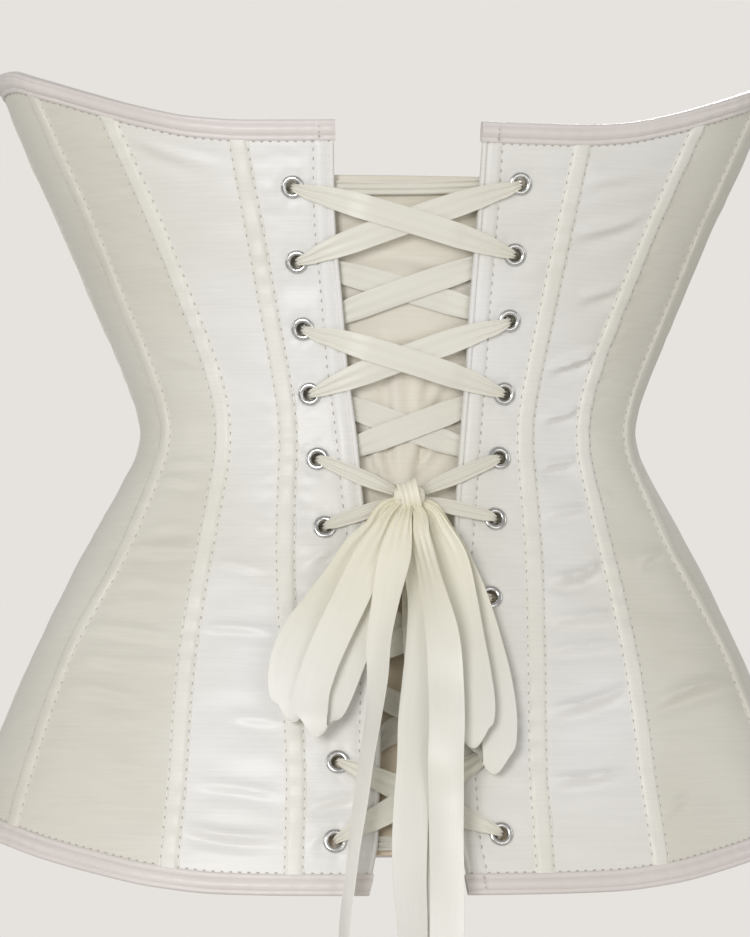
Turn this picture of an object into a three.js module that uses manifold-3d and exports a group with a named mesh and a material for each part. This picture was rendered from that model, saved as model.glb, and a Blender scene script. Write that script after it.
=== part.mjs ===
// Boned corset top, laced up the back with satin ribbon that is tied in a double bow.
// Millimetres. +X is the wearer's left, +Y the laced back, +Z up, and the origin is the
// middle of the waist. A place on the body is a fraction of the half girth, 0 at the centre
// back and 1 at the centre front, positive on the wearer's left, and a height z.
import * as THREE from 'three';
import { mergeVertices } from 'three/addons/utils/BufferGeometryUtils.js';
import Module from 'manifold-3d';

const wasm = await Module();
wasm.setup();

// Driving sizes
const CLOTH = 1.6;
const SEAM_GAP = 0.3;
const BONE_CASE = 8.6;
const BINDING_TALL = 7.1;
const BINDING_ROOM = 7.5;
const EYELET_INSET = 17.5;
const EYELET_HOLE = 3.6;
const RIBBON_THICK = 0.9;
const RIBBON_FREE = 14.5;
const RIBBON_CROSSING = 10;
const BACK_ROUNDNESS = 2.25;
const FRONT_ROUNDNESS = 2.1;
const BUST = { fraction: 0.785, z: 90, out: 25, wide: 50, above: 46, below: 38 };

// Tables
const table = (columns, rows) => rows.map((row) => (
  Object.fromEntries(columns.map((column, i) => [column, row[i]]))));

const SECTIONS = table(['z', 'halfWidth', 'back', 'front'], [
  [-211, 199.0, 124.0, 106],
  [-181, 189.0, 121.0, 107],
  [-144, 175.0, 113.0, 107],
  [-107, 160.0, 103.0, 103],
  [-67, 141.5, 92.0, 95],
  [-40, 127.2, 85.5, 89],
  [-21, 116.7, 82.0, 86],
  [-9, 110.8, 80.8, 85],
  [0, 109.2, 80.5, 84],
  [9, 110.6, 81.0, 84],
  [18, 113.4, 82.0, 85],
  [55, 128.7, 87.5, 91],
  [89, 143.2, 93.0, 97],
  [124, 159.8, 98.0, 102],
  [154, 172.0, 101.0, 106],
  [184, 180.0, 102.0, 108],
]);

const SEAMS = table(['z', 'a', 'b', 'c', 'd', 'e'], [
  [-195, 0.104, 0.208, 0.370, 0.530, 0.740],
  [-150, 0.108, 0.214, 0.378, 0.532, 0.745],
  [-100, 0.124, 0.229, 0.380, 0.540, 0.765],
  [-50, 0.147, 0.243, 0.358, 0.548, 0.790],
  [-20, 0.160, 0.254, 0.364, 0.550, 0.798],
  [0, 0.167, 0.263, 0.373, 0.550, 0.800],
  [20, 0.171, 0.267, 0.378, 0.550, 0.798],
  [60, 0.175, 0.283, 0.388, 0.545, 0.790],
  [120, 0.178, 0.308, 0.398, 0.540, 0.780],
  [160, 0.178, 0.325, 0.410, 0.540, 0.770],
]);

const CENTRE_BACK_EDGE = table(['z', 'left', 'right'], [
  [-200, 23.0, 21.0],
  [-185, 19.4, 18.5],
  [-171, 17.0, 16.0],
  [-125, 14.7, 14.3],
  [-104, 13.8, 14.0],
  [-66, 16.0, 16.0],
  [-37, 19.2, 19.0],
  [-6, 21.9, 22.0],
  [24, 26.0, 24.2],
  [50, 28.6, 25.4],
  [89, 32.4, 27.9],
  [130, 33.5, 29.9],
]);

const EDGE_HEIGHTS = table(['fraction', 'neck', 'hem'], [
  [0.000, 124.5, -193.5],
  [0.110, 123.8, -193.3],
  [0.165, 124.0, -192.8],
  [0.220, 126.0, -190.2],
  [0.275, 131.3, -185.3],
  [0.330, 138.7, -180.0],
  [0.385, 146.5, -174.6],
  [0.440, 152.8, -171.0],
  [0.530, 154.5, -169.5],
  [0.640, 152.5, -173.0],
  [0.740, 148.0, -180.0],
  [0.800, 139.0, -184.5],
  [0.860, 128.0, -188.0],
  [0.930, 121.0, -190.5],
  [1.000, 118.5, -191.0],
]);

const EYELETS = table(['left', 'right'], [
  [97.6, 100.1],
  [66.8, 70.7],
  [39.1, 43.2],
  [12.0, 12.7],
  [-15.3, -14.5],
  [-44.1, -40.4],
  [-73.4, -73.3],
  [-104.0, -101.6],
  [-141.1, -136.8],
  [-172.9, -170.4],
]);

const LEVELS = [-150, -112, -84, -56, -30, -9, 0, 19, 36, 56, 78, 98];

// Smooth value of a column between the rows of a table
function smoothAt(rows, key, column, x) {
  const last = rows.length - 1;
  if (x <= rows[0][key]) return rows[0][column];
  if (x >= rows[last][key]) return rows[last][column];
  const slope = (i) => (rows[i + 1][column] - rows[i][column]) / (rows[i + 1][key] - rows[i][key]);
  const tangent = (i) => {
    if (i === 0) return slope(0);
    if (i === last) return slope(last - 1);
    const before = slope(i - 1);
    const after = slope(i);
    return before * after <= 0 ? 0 : (2 * before * after) / (before + after);
  };
  const k = rows.findIndex((row, i) => i < last && x <= rows[i + 1][key]);
  const span = rows[k + 1][key] - rows[k][key];
  const t = (x - rows[k][key]) / span;
  const s = 1 - t;
  return rows[k][column] * (1 + 2 * t) * s * s + tangent(k) * span * t * s * s
    + rows[k + 1][column] * (3 - 2 * t) * t * t - tangent(k + 1) * span * t * t * s;
}

const smoothStep = (from, to, x) => {
  const t = Math.min(1, Math.max(0, (x - from) / (to - from)));
  return t * t * (3 - 2 * t);
};

// The body's form: a rounded section at each height, walked by its own girth
const GIRTH_STEPS = 200;
const girthRows = new Map();

function sectionPoint(turn, z) {
  const cos = Math.cos(turn);
  const sin = Math.sin(turn);
  const power = 2 / (cos >= 0 ? BACK_ROUNDNESS : FRONT_ROUNDNESS);
  const depth = smoothAt(SECTIONS, 'z', cos >= 0 ? 'back' : 'front', z);
  return new THREE.Vector3(
    smoothAt(SECTIONS, 'z', 'halfWidth', z) * Math.sign(sin) * Math.abs(sin) ** power,
    depth * Math.sign(cos) * Math.abs(cos) ** power,
    z,
  );
}

function girthRow(z) {
  const key = z.toFixed(3);
  if (!girthRows.has(key)) {
    const lengths = [0];
    let before = sectionPoint(0, z);
    for (let i = 1; i <= GIRTH_STEPS; i += 1) {
      const point = sectionPoint((Math.PI * i) / GIRTH_STEPS, z);
      lengths.push(lengths[i - 1] + point.distanceTo(before));
      before = point;
    }
    girthRows.set(key, lengths);
  }
  return girthRows.get(key);
}

const halfGirth = (z) => girthRow(z)[GIRTH_STEPS];

function wrapped(fraction) {
  if (fraction > 1) return fraction - 2;
  return fraction < -1 ? fraction + 2 : fraction;
}

function turnAt(fraction, z) {
  const lengths = girthRow(z);
  const reach = Math.abs(fraction) * lengths[GIRTH_STEPS];
  let low = 0;
  let high = GIRTH_STEPS;
  while (high - low > 1) {
    const middle = (low + high) >> 1;
    if (lengths[middle] <= reach) low = middle;
    else high = middle;
  }
  const part = (reach - lengths[low]) / (lengths[high] - lengths[low]);
  return (Math.sign(fraction) * Math.PI * (low + part)) / GIRTH_STEPS;
}

function bustLift(fraction, z) {
  const across = ((Math.abs(fraction) - BUST.fraction) * halfGirth(z)) / BUST.wide;
  const up = (z - BUST.z) / (z > BUST.z ? BUST.above : BUST.below);
  return BUST.out * Math.exp(-across * across - up * up);
}

function bodyPoint(anyFraction, z) {
  const fraction = wrapped(anyFraction);
  const turn = turnAt(fraction, z);
  const point = sectionPoint(turn, z);
  const lift = bustLift(fraction, z);
  if (lift < 0.01) return point;
  const along = sectionPoint(turn + 0.01, z).sub(sectionPoint(turn - 0.01, z));
  return point.add(new THREE.Vector3(-along.y, along.x, 0).setLength(lift));
}

const TOUCH = 0.6;

function outwardAt(fraction, z) {
  const step = TOUCH / halfGirth(z);
  const along = bodyPoint(fraction + step, z).sub(bodyPoint(fraction - step, z));
  const up = bodyPoint(fraction, z + TOUCH).sub(bodyPoint(fraction, z - TOUCH));
  return up.cross(along).normalize();
}

const onBody = (fraction, z, out) => (
  bodyPoint(fraction, z).addScaledVector(outwardAt(fraction, z), out));

// Lines down the body: each gives the fraction of the half girth at a height
const sideName = (side) => (side > 0 ? 'left' : 'right');

const edgeLine = (side, inset) => (z) => (
  (side * (smoothAt(CENTRE_BACK_EDGE, 'z', sideName(side), z) + inset)) / halfGirth(z));

const seamLine = (side, seam, offset) => (z) => (
  side * (smoothAt(SEAMS, 'z', seam, z) + offset / halfGirth(z)));

// Rows across the body: hem, hem binding's line, the levels, and the same at the neckline
const ROWS = LEVELS.length + 5;

function rowHeight(row, anyFraction) {
  const fraction = Math.abs(wrapped(anyFraction));
  const hem = smoothAt(EDGE_HEIGHTS, 'fraction', 'hem', fraction);
  const neck = smoothAt(EDGE_HEIGHTS, 'fraction', 'neck', fraction);
  const highest = LEVELS[LEVELS.length - 1];
  if (row === 0) return hem;
  if (row === 1) return hem + BINDING_ROOM;
  if (row === ROWS - 1) return neck;
  if (row === ROWS - 2) return neck - BINDING_ROOM;
  if (row === ROWS - 3) return (highest + neck - BINDING_ROOM) / 2;
  return LEVELS[row - 2];
}

const PLACE_STEPS = 6;

function gridPlace(column, row) {
  let z = rowHeight(row, column(0));
  for (let i = 0; i < PLACE_STEPS; i += 1) z = rowHeight(row, column(z));
  return { fraction: column(z), z };
}

function gridPoint(column, row, out) {
  const { fraction, z } = gridPlace(column, row);
  return onBody(fraction, z, out);
}

// Closed solids from rings of points
function closedGeometry(points, faces) {
  let volume = 0;
  faces.forEach(([a, b, c]) => {
    volume += points[a].dot(points[b].clone().cross(points[c])) / 6;
  });
  const turned = volume < 0 ? faces.map(([a, b, c]) => [a, c, b]) : faces;
  const geometry = new THREE.BufferGeometry();
  geometry.setFromPoints(points);
  geometry.setIndex(turned.flat());
  geometry.computeVertexNormals();
  return geometry;
}

function sweep(rings, cap, otherWay = []) {
  const count = rings[0].length;
  const faces = [];
  for (let i = 0; i < rings.length - 1; i += 1) {
    for (let k = 0; k < count; k += 1) {
      const a = i * count + k;
      const b = i * count + ((k + 1) % count);
      if (otherWay.includes(k)) {
        faces.push([a, b, a + count], [b, b + count, a + count]);
      } else {
        faces.push([a, b, b + count], [a, b + count, a + count]);
      }
    }
  }
  const end = (rings.length - 1) * count;
  cap.forEach(([a, b, c]) => {
    faces.push([a, c, b], [end + a, end + b, end + c]);
  });
  return closedGeometry(rings.flat(), faces);
}

// Ends of a ring that runs along one face and back along the other
function stripCap(across) {
  const cap = [];
  const last = 2 * across - 1;
  for (let k = 0; k < across - 1; k += 1) {
    cap.push([k, k + 1, last - k - 1], [k, last - k - 1, last - k]);
  }
  return cap;
}

// Ends of a ring with any outline, each triangle turned the way that the ring runs
function outlineCap(outline) {
  const points = outline.map(([x, y]) => new THREE.Vector2(x, y));
  const { area } = THREE.ShapeUtils;
  return THREE.ShapeUtils.triangulateShape(points, []).map(([a, b, c]) => {
    const sameWay = area([points[a], points[b], points[c]]) * area(points) > 0;
    return sameWay ? [a, b, c] : [a, c, b];
  });
}

// Panels
function panelColumns(from, to, plain) {
  const columns = [from(SEAM_GAP / 2), from(BONE_CASE / 2)];
  for (let i = 1; i <= plain; i += 1) {
    const part = i / (plain + 1);
    columns.push((z) => from(BONE_CASE / 2)(z) * (1 - part) + to(-BONE_CASE / 2)(z) * part);
  }
  columns.push(to(-BONE_CASE / 2), to(-SEAM_GAP / 2));
  return columns;
}

const seamFrom = (side, seam) => (offset) => seamLine(side, seam, offset);

// The lacing panel: piped edge, bone pocket and the eyelet strip
const LACING_COLUMNS = table(['inset', 'raised'], [
  [0.0, 0.0],
  [1.1, 0.4],
  [2.5, 0.0],
  [5.4, 0.6],
  [8.8, 0.0],
  [23.5, 0.0],
]);
const EYELET_STRIP = LACING_COLUMNS.slice(-2);

function lacingColumns(side) {
  return [
    ...LACING_COLUMNS.map(({ inset }) => edgeLine(side, inset)),
    seamLine(side, 'a', -BONE_CASE / 2),
    seamLine(side, 'a', -SEAM_GAP / 2),
  ];
}

function panelGeometry(columns, raised = []) {
  const rings = [];
  for (let row = 0; row < ROWS; row += 1) {
    const bound = row < 2 || row > ROWS - 3;
    const outer = columns.map((column, i) => gridPoint(column, row, bound ? 0 : raised[i] ?? 0));
    const inner = columns.map((column) => gridPoint(column, row, -CLOTH));
    rings.push([...outer, ...inner.reverse()]);
  }
  return sweep(rings, stripCap(columns.length));
}

// Cuts, by way of closed solids
function toSolid(geometry) {
  const bare = geometry.clone();
  bare.deleteAttribute('normal');
  bare.deleteAttribute('uv');
  const merged = mergeVertices(bare, 1e-4);
  return new wasm.Manifold(new wasm.Mesh({
    numProp: 3,
    vertProperties: new Float32Array(merged.attributes.position.array),
    triVerts: new Uint32Array(merged.index.array),
  }));
}

function fromSolid(solid) {
  const mesh = solid.getMesh();
  const geometry = new THREE.BufferGeometry();
  geometry.setAttribute('position', new THREE.BufferAttribute(mesh.vertProperties, 3));
  geometry.setIndex(Array.from(mesh.triVerts));
  geometry.computeVertexNormals();
  return geometry;
}

// Eyelets: the flat stretch of the lacing panel that carries one gives its place
function eyeletSeat(side, z) {
  const [nearInset, farInset] = EYELET_STRIP.map(({ inset }) => inset);
  const near = edgeLine(side, nearInset);
  const far = edgeLine(side, farInset);
  let row = 0;
  while (rowHeight(row + 1, near(z)) < z) row += 1;
  const low = rowHeight(row, near(z));
  const up = (z - low) / (rowHeight(row + 1, near(z)) - low);
  const across = (EYELET_INSET - nearInset) / (farInset - nearInset);
  const nearLow = gridPoint(near, row, 0);
  const nearHigh = gridPoint(near, row + 1, 0);
  const farLow = gridPoint(far, row, 0);
  const farHigh = gridPoint(far, row + 1, 0);
  const inner = nearLow.clone().lerp(nearHigh, up);
  const outer = farLow.clone().lerp(farHigh, up);
  const rise = nearHigh.sub(nearLow).add(farHigh.sub(farLow));
  const out = rise.cross(outer.clone().sub(inner)).normalize().multiplyScalar(side);
  return { point: inner.lerp(outer, across), out };
}

function turnedTo(geometry, seat) {
  geometry.applyQuaternion(new THREE.Quaternion().setFromUnitVectors(
    new THREE.Vector3(0, 1, 0), seat.out));
  geometry.translate(seat.point.x, seat.point.y, seat.point.z);
  return geometry;
}

const EYELET_SIDES = 10;
const HOLE_SIDES = 8;
const EYELET_PROFILE = table(['radius', 'out'], [
  [2.65, 0.55],
  [2.65, -CLOTH - 1.0],
  [4.6, -CLOTH - 0.45],
  [3.05, -CLOTH - 0.3],
  [3.05, 0.3],
  [4.9, 0.4],
  [3.45, 1.0],
  [2.65, 0.55],
]);

function eyeletGeometry(seat) {
  const profile = EYELET_PROFILE.map(({ radius, out }) => new THREE.Vector2(radius, out));
  return turnedTo(new THREE.LatheGeometry(profile, EYELET_SIDES), seat);
}

function lacingPanelGeometry(side) {
  const raised = LACING_COLUMNS.map((column) => column.raised);
  let solid = toSolid(panelGeometry(lacingColumns(side), raised));
  EYELETS.forEach((row) => {
    const punch = new THREE.CylinderGeometry(EYELET_HOLE, EYELET_HOLE, 4 * CLOTH, HOLE_SIDES);
    solid = solid.subtract(toSolid(turnedTo(punch, eyeletSeat(side, row[sideName(side)]))));
  });
  return fromSolid(solid);
}

// Bone casings: made from the lines of the panels on both sides of a seam, moved out
const CASING_LIFT = 0.45;
const CASING_SECTION = table(['across', 'height'], [
  [-BONE_CASE / 2, CASING_LIFT],
  [-BONE_CASE / 2, 0.7],
  [-2.7, 1.35],
  [2.7, 1.35],
  [BONE_CASE / 2, 0.7],
  [BONE_CASE / 2, CASING_LIFT],
]);

function casingGeometry(side, seam) {
  const rings = [];
  for (let row = 1; row < ROWS - 1; row += 1) {
    rings.push(CASING_SECTION.map(({ across, height }) => gridPoint(
      seamLine(side, seam, across), row, height)));
  }
  return sweep(rings, outlineCap(CASING_SECTION.map(({ across, height }) => [across, height])));
}

// Bindings: a folded strip over the cut edge, from the panels' own columns
const BINDING_GAP = 0.5;
const BINDING_SECTION = table(['out', 'down'], [
  [BINDING_GAP, BINDING_TALL],
  [2.1, 4.6],
  [1.9, -0.6],
  [0.6, -1.4],
  [-CLOTH - 1.2, -1.4],
  [-CLOTH - 1.7, 6],
  [-CLOTH - BINDING_GAP, 6],
  [-CLOTH - BINDING_GAP, -BINDING_GAP],
  [BINDING_GAP, -BINDING_GAP],
]);
const BINDING_FOLD = 8.4;
const BINDING_FOLD_RISE = 0.4;

function bindingGeometry(columns, edgeRow, nextRow) {
  const rings = columns.map(({ line, folded }) => BINDING_SECTION.map(({ out, down }) => {
    const rise = folded && out > BINDING_GAP ? BINDING_FOLD_RISE : 0;
    const edge = gridPoint(line, edgeRow, out + rise);
    const next = gridPoint(line, nextRow, out + rise);
    return edge.lerp(next, down / BINDING_ROOM);
  }));
  return sweep(rings, outlineCap(BINDING_SECTION.map(({ out, down }) => [out, down])));
}

// The stiffened panel behind the lacing, sewn to the wearer's left and free on the right
const MODESTY = {
  top: 101.5, bottom: -178, cloth: 1.2, behind: 6.6, band: 5.2, underRight: 29, underLeft: 24,
};
const MODESTY_HEIGHTS = [
  MODESTY.bottom, ...LEVELS.slice(0, -1), MODESTY.top - MODESTY.band - 0.4, MODESTY.top];
const MODESTY_PLAIN = 6;

function modestyLines() {
  const from = edgeLine(-1, MODESTY.underRight);
  const to = edgeLine(1, MODESTY.underLeft);
  const lines = [];
  for (let i = 0; i <= MODESTY_PLAIN; i += 1) {
    const part = i / MODESTY_PLAIN;
    lines.push({ line: (z) => from(z) * (1 - part) + to(z) * part, out: -MODESTY.behind });
  }
  return [
    ...lines,
    { line: seamLine(1, 'a', 4), out: -MODESTY.behind / 2 },
    { line: seamLine(1, 'a', 12), out: -CLOTH - 2.5 * SEAM_GAP },
  ];
}

function modestyGeometry() {
  const lines = modestyLines();
  const rings = MODESTY_HEIGHTS.map((z) => {
    const outer = lines.map(({ line, out }) => onBody(line(z), z, out));
    const inner = lines.map(({ line, out }) => onBody(line(z), z, out - MODESTY.cloth));
    return [...outer, ...inner.reverse()];
  });
  return sweep(rings, stripCap(lines.length));
}

const MODESTY_BAND = table(['out', 'down'], [
  [0.25, MODESTY.band],
  [0.7, MODESTY.band],
  [0.7, -0.8],
  [-MODESTY.cloth - 0.8, -0.8],
  [-MODESTY.cloth - 0.8, MODESTY.band],
  [-MODESTY.cloth - 0.25, MODESTY.band],
  [-MODESTY.cloth - 0.25, -0.25],
  [0.25, -0.25],
]);

function modestyBandGeometry() {
  const rings = modestyLines().slice(0, -1).map(({ line, out }) => (
    MODESTY_BAND.map((point) => onBody(
      line(MODESTY.top - point.down), MODESTY.top - point.down, out + point.out))));
  return sweep(rings, outlineCap(MODESTY_BAND.map(({ out, down }) => [out, down])));
}

// Ribbon: a flat strip swept through stations that give its place, width and lie. Its two faces
// are split along the same diagonals, so that they stay apart where it twists. Where it is
// folded back on itself the fold keeps its own slant.
const RIBBON_UNDERSIDE = 2;

function ribbonGeometry(stations) {
  const rings = stations.map(({ point, across, width, thick, folded }, i) => {
    const before = stations[Math.max(0, i - 1)].point;
    const after = stations[Math.min(stations.length - 1, i + 1)].point;
    const along = after.clone().sub(before).normalize();
    const slant = folded ? 0 : across.dot(along);
    const wide = across.clone().addScaledVector(along, -slant).normalize();
    const up = wide.clone().cross(along).normalize();
    const corner = (a, b) => point.clone()
      .addScaledVector(wide, (a * width) / 2).addScaledVector(up, (b * thick) / 2);
    return [corner(-1, 1), corner(1, 1), corner(1, -1), corner(-1, -1)];
  });
  return sweep(rings, stripCap(2), [RIBBON_UNDERSIDE]);
}

// One stretch of lace over the surface, from one eyelet towards a place beside another
const LACE_LIE = table(['along', 'width', 'thick'], [
  [1.3, 3.4, 1.2],
  [5.4, 5.4, 1.0],
  [11, 7.4, RIBBON_THICK],
  [18, 9.0, RIBBON_THICK],
]);
const LACE_FLAT_FROM = LACE_LIE[LACE_LIE.length - 1].along;
const LACE_OFF_RIM = { from: 6, to: 12 };
const LACE_OUTSIDE = 1.95;
const LACE_INSIDE = -CLOTH - 1.9;
const LACE_PASS = 1.3;
const LACE_PASS_REACH = { full: 17, none: 27 };

function laceEnd(side, row) {
  const z = EYELETS[row][sideName(side)];
  const seat = eyeletSeat(side, z);
  return { ...seat, z, fraction: edgeLine(side, EYELET_INSET)(z) };
}

const CROSSING = { widest: RIBBON_CROSSING, sag: 0 };
const BAR = { widest: 5.8, sag: 1.6 };

function laceStations(from, to, face, over, { widest, sag } = CROSSING) {
  const length = from.point.distanceTo(to.point);
  const step = to.point.clone().sub(from.point).normalize();
  const across = step.clone().cross(from.out.clone().add(to.out)).normalize();
  const outward = face > 0 ? LACE_OUTSIDE : LACE_INSIDE;
  const station = (along, width, thick) => {
    const part = along / length;
    const fromMiddle = Math.abs(along - length / 2);
    const pass = over * LACE_PASS
      * (1 - smoothStep(LACE_PASS_REACH.full, LACE_PASS_REACH.none, fromMiddle));
    const z = from.z + (to.z - from.z) * part - sag * 4 * part * (1 - part);
    const fraction = from.fraction + (to.fraction - from.fraction) * part;
    const offRim = smoothStep(
      LACE_OFF_RIM.from, LACE_OFF_RIM.to, Math.min(along, length - along));
    const lie = onBody(fraction, z, outward + face * pass);
    const seat = part < 0.5 ? from : to;
    const flat = step.clone().addScaledVector(seat.out, -step.dot(seat.out)).normalize();
    const rim = seat.point.clone().addScaledVector(seat.out, outward)
      .addScaledVector(flat, part < 0.5 ? along : along - length);
    return { point: rim.lerp(lie, offRim), across, width: Math.min(width, widest), thick };
  };
  const stations = LACE_LIE.map((lie) => station(lie.along, lie.width, lie.thick));
  const middle = (length - 2 * LACE_FLAT_FROM) / 4;
  for (let i = 1; i <= 3; i += 1) {
    stations.push(station(LACE_FLAT_FROM + i * middle, RIBBON_CROSSING, RIBBON_THICK));
  }
  [...LACE_LIE].reverse().forEach((lie) => {
    stations.push(station(length - lie.along, lie.width, lie.thick));
  });
  return stations;
}

// The ribbon gathered inside an eyelet, turning from one stretch's lie to the next
const IN_EYELET = { width: 3.0, thick: 1.5 };

function throughEyelet(end, before, after) {
  const across = before.clone();
  if (across.dot(after) < 0) across.negate();
  across.add(after).normalize();
  return {
    point: end.point.clone().addScaledVector(end.out, -CLOTH / 2),
    across,
    ...IN_EYELET,
  };
}

// Joins stretches, keeping the width's direction steady from one to the next
function laceGeometry(stretches, ends) {
  const stations = [];
  stretches.forEach((stretch, i) => {
    if (i > 0) {
      const before = stations[stations.length - 1].across;
      if (before.dot(stretch[0].across) < 0) stretch.forEach(({ across }) => across.negate());
      stations.push(throughEyelet(ends[i - 1], before, stretch[0].across));
    }
    stations.push(...stretch);
  });
  return ribbonGeometry(stations);
}

// The knot, a squarish lump, and the stretches that run to it from the eyelets beside it
const KNOT = {
  x: 1.4, z: -31.5, out: 9.8, halfWide: 7.6, halfTall: 6.6, halfDeep: 6.6, squareness: 0.7,
};

function backSurface(x, z) {
  const width = smoothAt(SECTIONS, 'z', 'halfWidth', z);
  const depth = smoothAt(SECTIONS, 'z', 'back', z);
  return depth * (1 - Math.abs(x / width) ** BACK_ROUNDNESS) ** (1 / BACK_ROUNDNESS);
}

const behindBack = (x, z, lift) => new THREE.Vector3(x, backSurface(x, z) + lift, z);

function knotGeometry() {
  const geometry = mergedSphere(14, 9);
  const position = geometry.attributes.position;
  const squared = (value) => Math.sign(value) * Math.abs(value) ** KNOT.squareness;
  const middle = behindBack(KNOT.x, KNOT.z, KNOT.out);
  for (let i = 0; i < position.count; i += 1) {
    position.setXYZ(
      i,
      middle.x + KNOT.halfWide * squared(position.getX(i)),
      middle.y + KNOT.halfDeep * squared(position.getZ(i)),
      middle.z + KNOT.halfTall * squared(position.getY(i)),
    );
  }
  return closedGeometry(positionPoints(geometry), indexFaces(geometry));
}

function mergedSphere(around, down) {
  const sphere = new THREE.SphereGeometry(1, around, down);
  sphere.deleteAttribute('normal');
  sphere.deleteAttribute('uv');
  return mergeVertices(sphere, 1e-4);
}

const positionPoints = ({ attributes: { position } }) => (
  Array.from({ length: position.count }, (_, i) => new THREE.Vector3().fromBufferAttribute(position, i)));

function indexFaces({ index }) {
  const faces = [];
  for (let i = 0; i < index.count; i += 3) {
    const face = [index.getX(i), index.getX(i + 1), index.getX(i + 2)];
    if (new Set(face).size === 3) faces.push(face);
  }
  return faces;
}

const KNOT_STRETCH = table(['part', 'width', 'thick'], [
  [0.30, 6.0, RIBBON_THICK],
  [0.50, 6.4, RIBBON_THICK],
  [0.70, 6.0, RIBBON_THICK],
  [0.86, 4.6, RIBBON_THICK],
  [1.00, 3.6, RIBBON_THICK],
]);
const KNOT_END = { reach: 6, lift: 3.2 };

function knotStations(side, row) {
  const from = laceEnd(side, row);
  const knot = behindBack(KNOT.x, KNOT.z, KNOT_END.lift);
  const heading = new THREE.Vector3(knot.x - from.point.x, 0, knot.z - from.point.z).normalize();
  const foot = knot.clone().addScaledVector(heading, -KNOT_END.reach);
  const end = behindBack(foot.x, foot.z, KNOT_END.lift);
  const start = from.point.clone().addScaledVector(from.out, LACE_OUTSIDE);
  const along = end.clone().sub(start).normalize();
  const across = along.clone().cross(from.out).normalize();
  const stations = LACE_LIE.slice(0, 2).map((lie) => ({
    point: start.clone().addScaledVector(along, lie.along),
    across: across.clone(),
    width: lie.width,
    thick: lie.thick,
  }));
  KNOT_STRETCH.forEach(({ part, width, thick }) => {
    const point = start.clone().lerp(end, part);
    const clear = behindBack(point.x, point.z, LACE_OUTSIDE + 0.2);
    point.y = Math.max(point.y, clear.y);
    stations.push({ point, across: across.clone(), width, thick });
  });
  return stations;
}

// The whole ribbon of one half: rows in order from the knot to the bar at the far end
function laceGeometryOf(rows) {
  const strand = (startSide) => {
    const ends = rows.map((row, i) => laceEnd(i % 2 === 0 ? startSide : -startSide, row));
    const stretches = [knotStations(startSide, rows[0])];
    for (let i = 1; i < rows.length; i += 1) {
      const face = i % 2 === 1 ? -1 : 1;
      const over = (startSide > 0) === (face > 0) ? 1 : 0;
      stretches.push(laceStations(ends[i - 1], ends[i], face, over));
    }
    return { stretches, ends };
  };
  const one = strand(1);
  const two = strand(-1);
  const last = rows.length - 1;
  const bar = laceStations(one.ends[last], two.ends[last], -1, 0, BAR);
  const back = [...two.stretches].reverse();
  const stretches = [
    one.stretches[0].reverse(), ...one.stretches.slice(1), bar,
    ...back.slice(0, -1).map((stretch) => stretch.reverse()), back[back.length - 1],
  ];
  return laceGeometry(stretches, [...one.ends, ...[...two.ends].reverse()]);
}

// Loops and tails of the bow: routes chosen on the back, with the ribbon's lean in the plane
// of the back and its turn about its own length, in degrees
const ROUTE = ['x', 'z', 'lift', 'lean', 'turn'];

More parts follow.
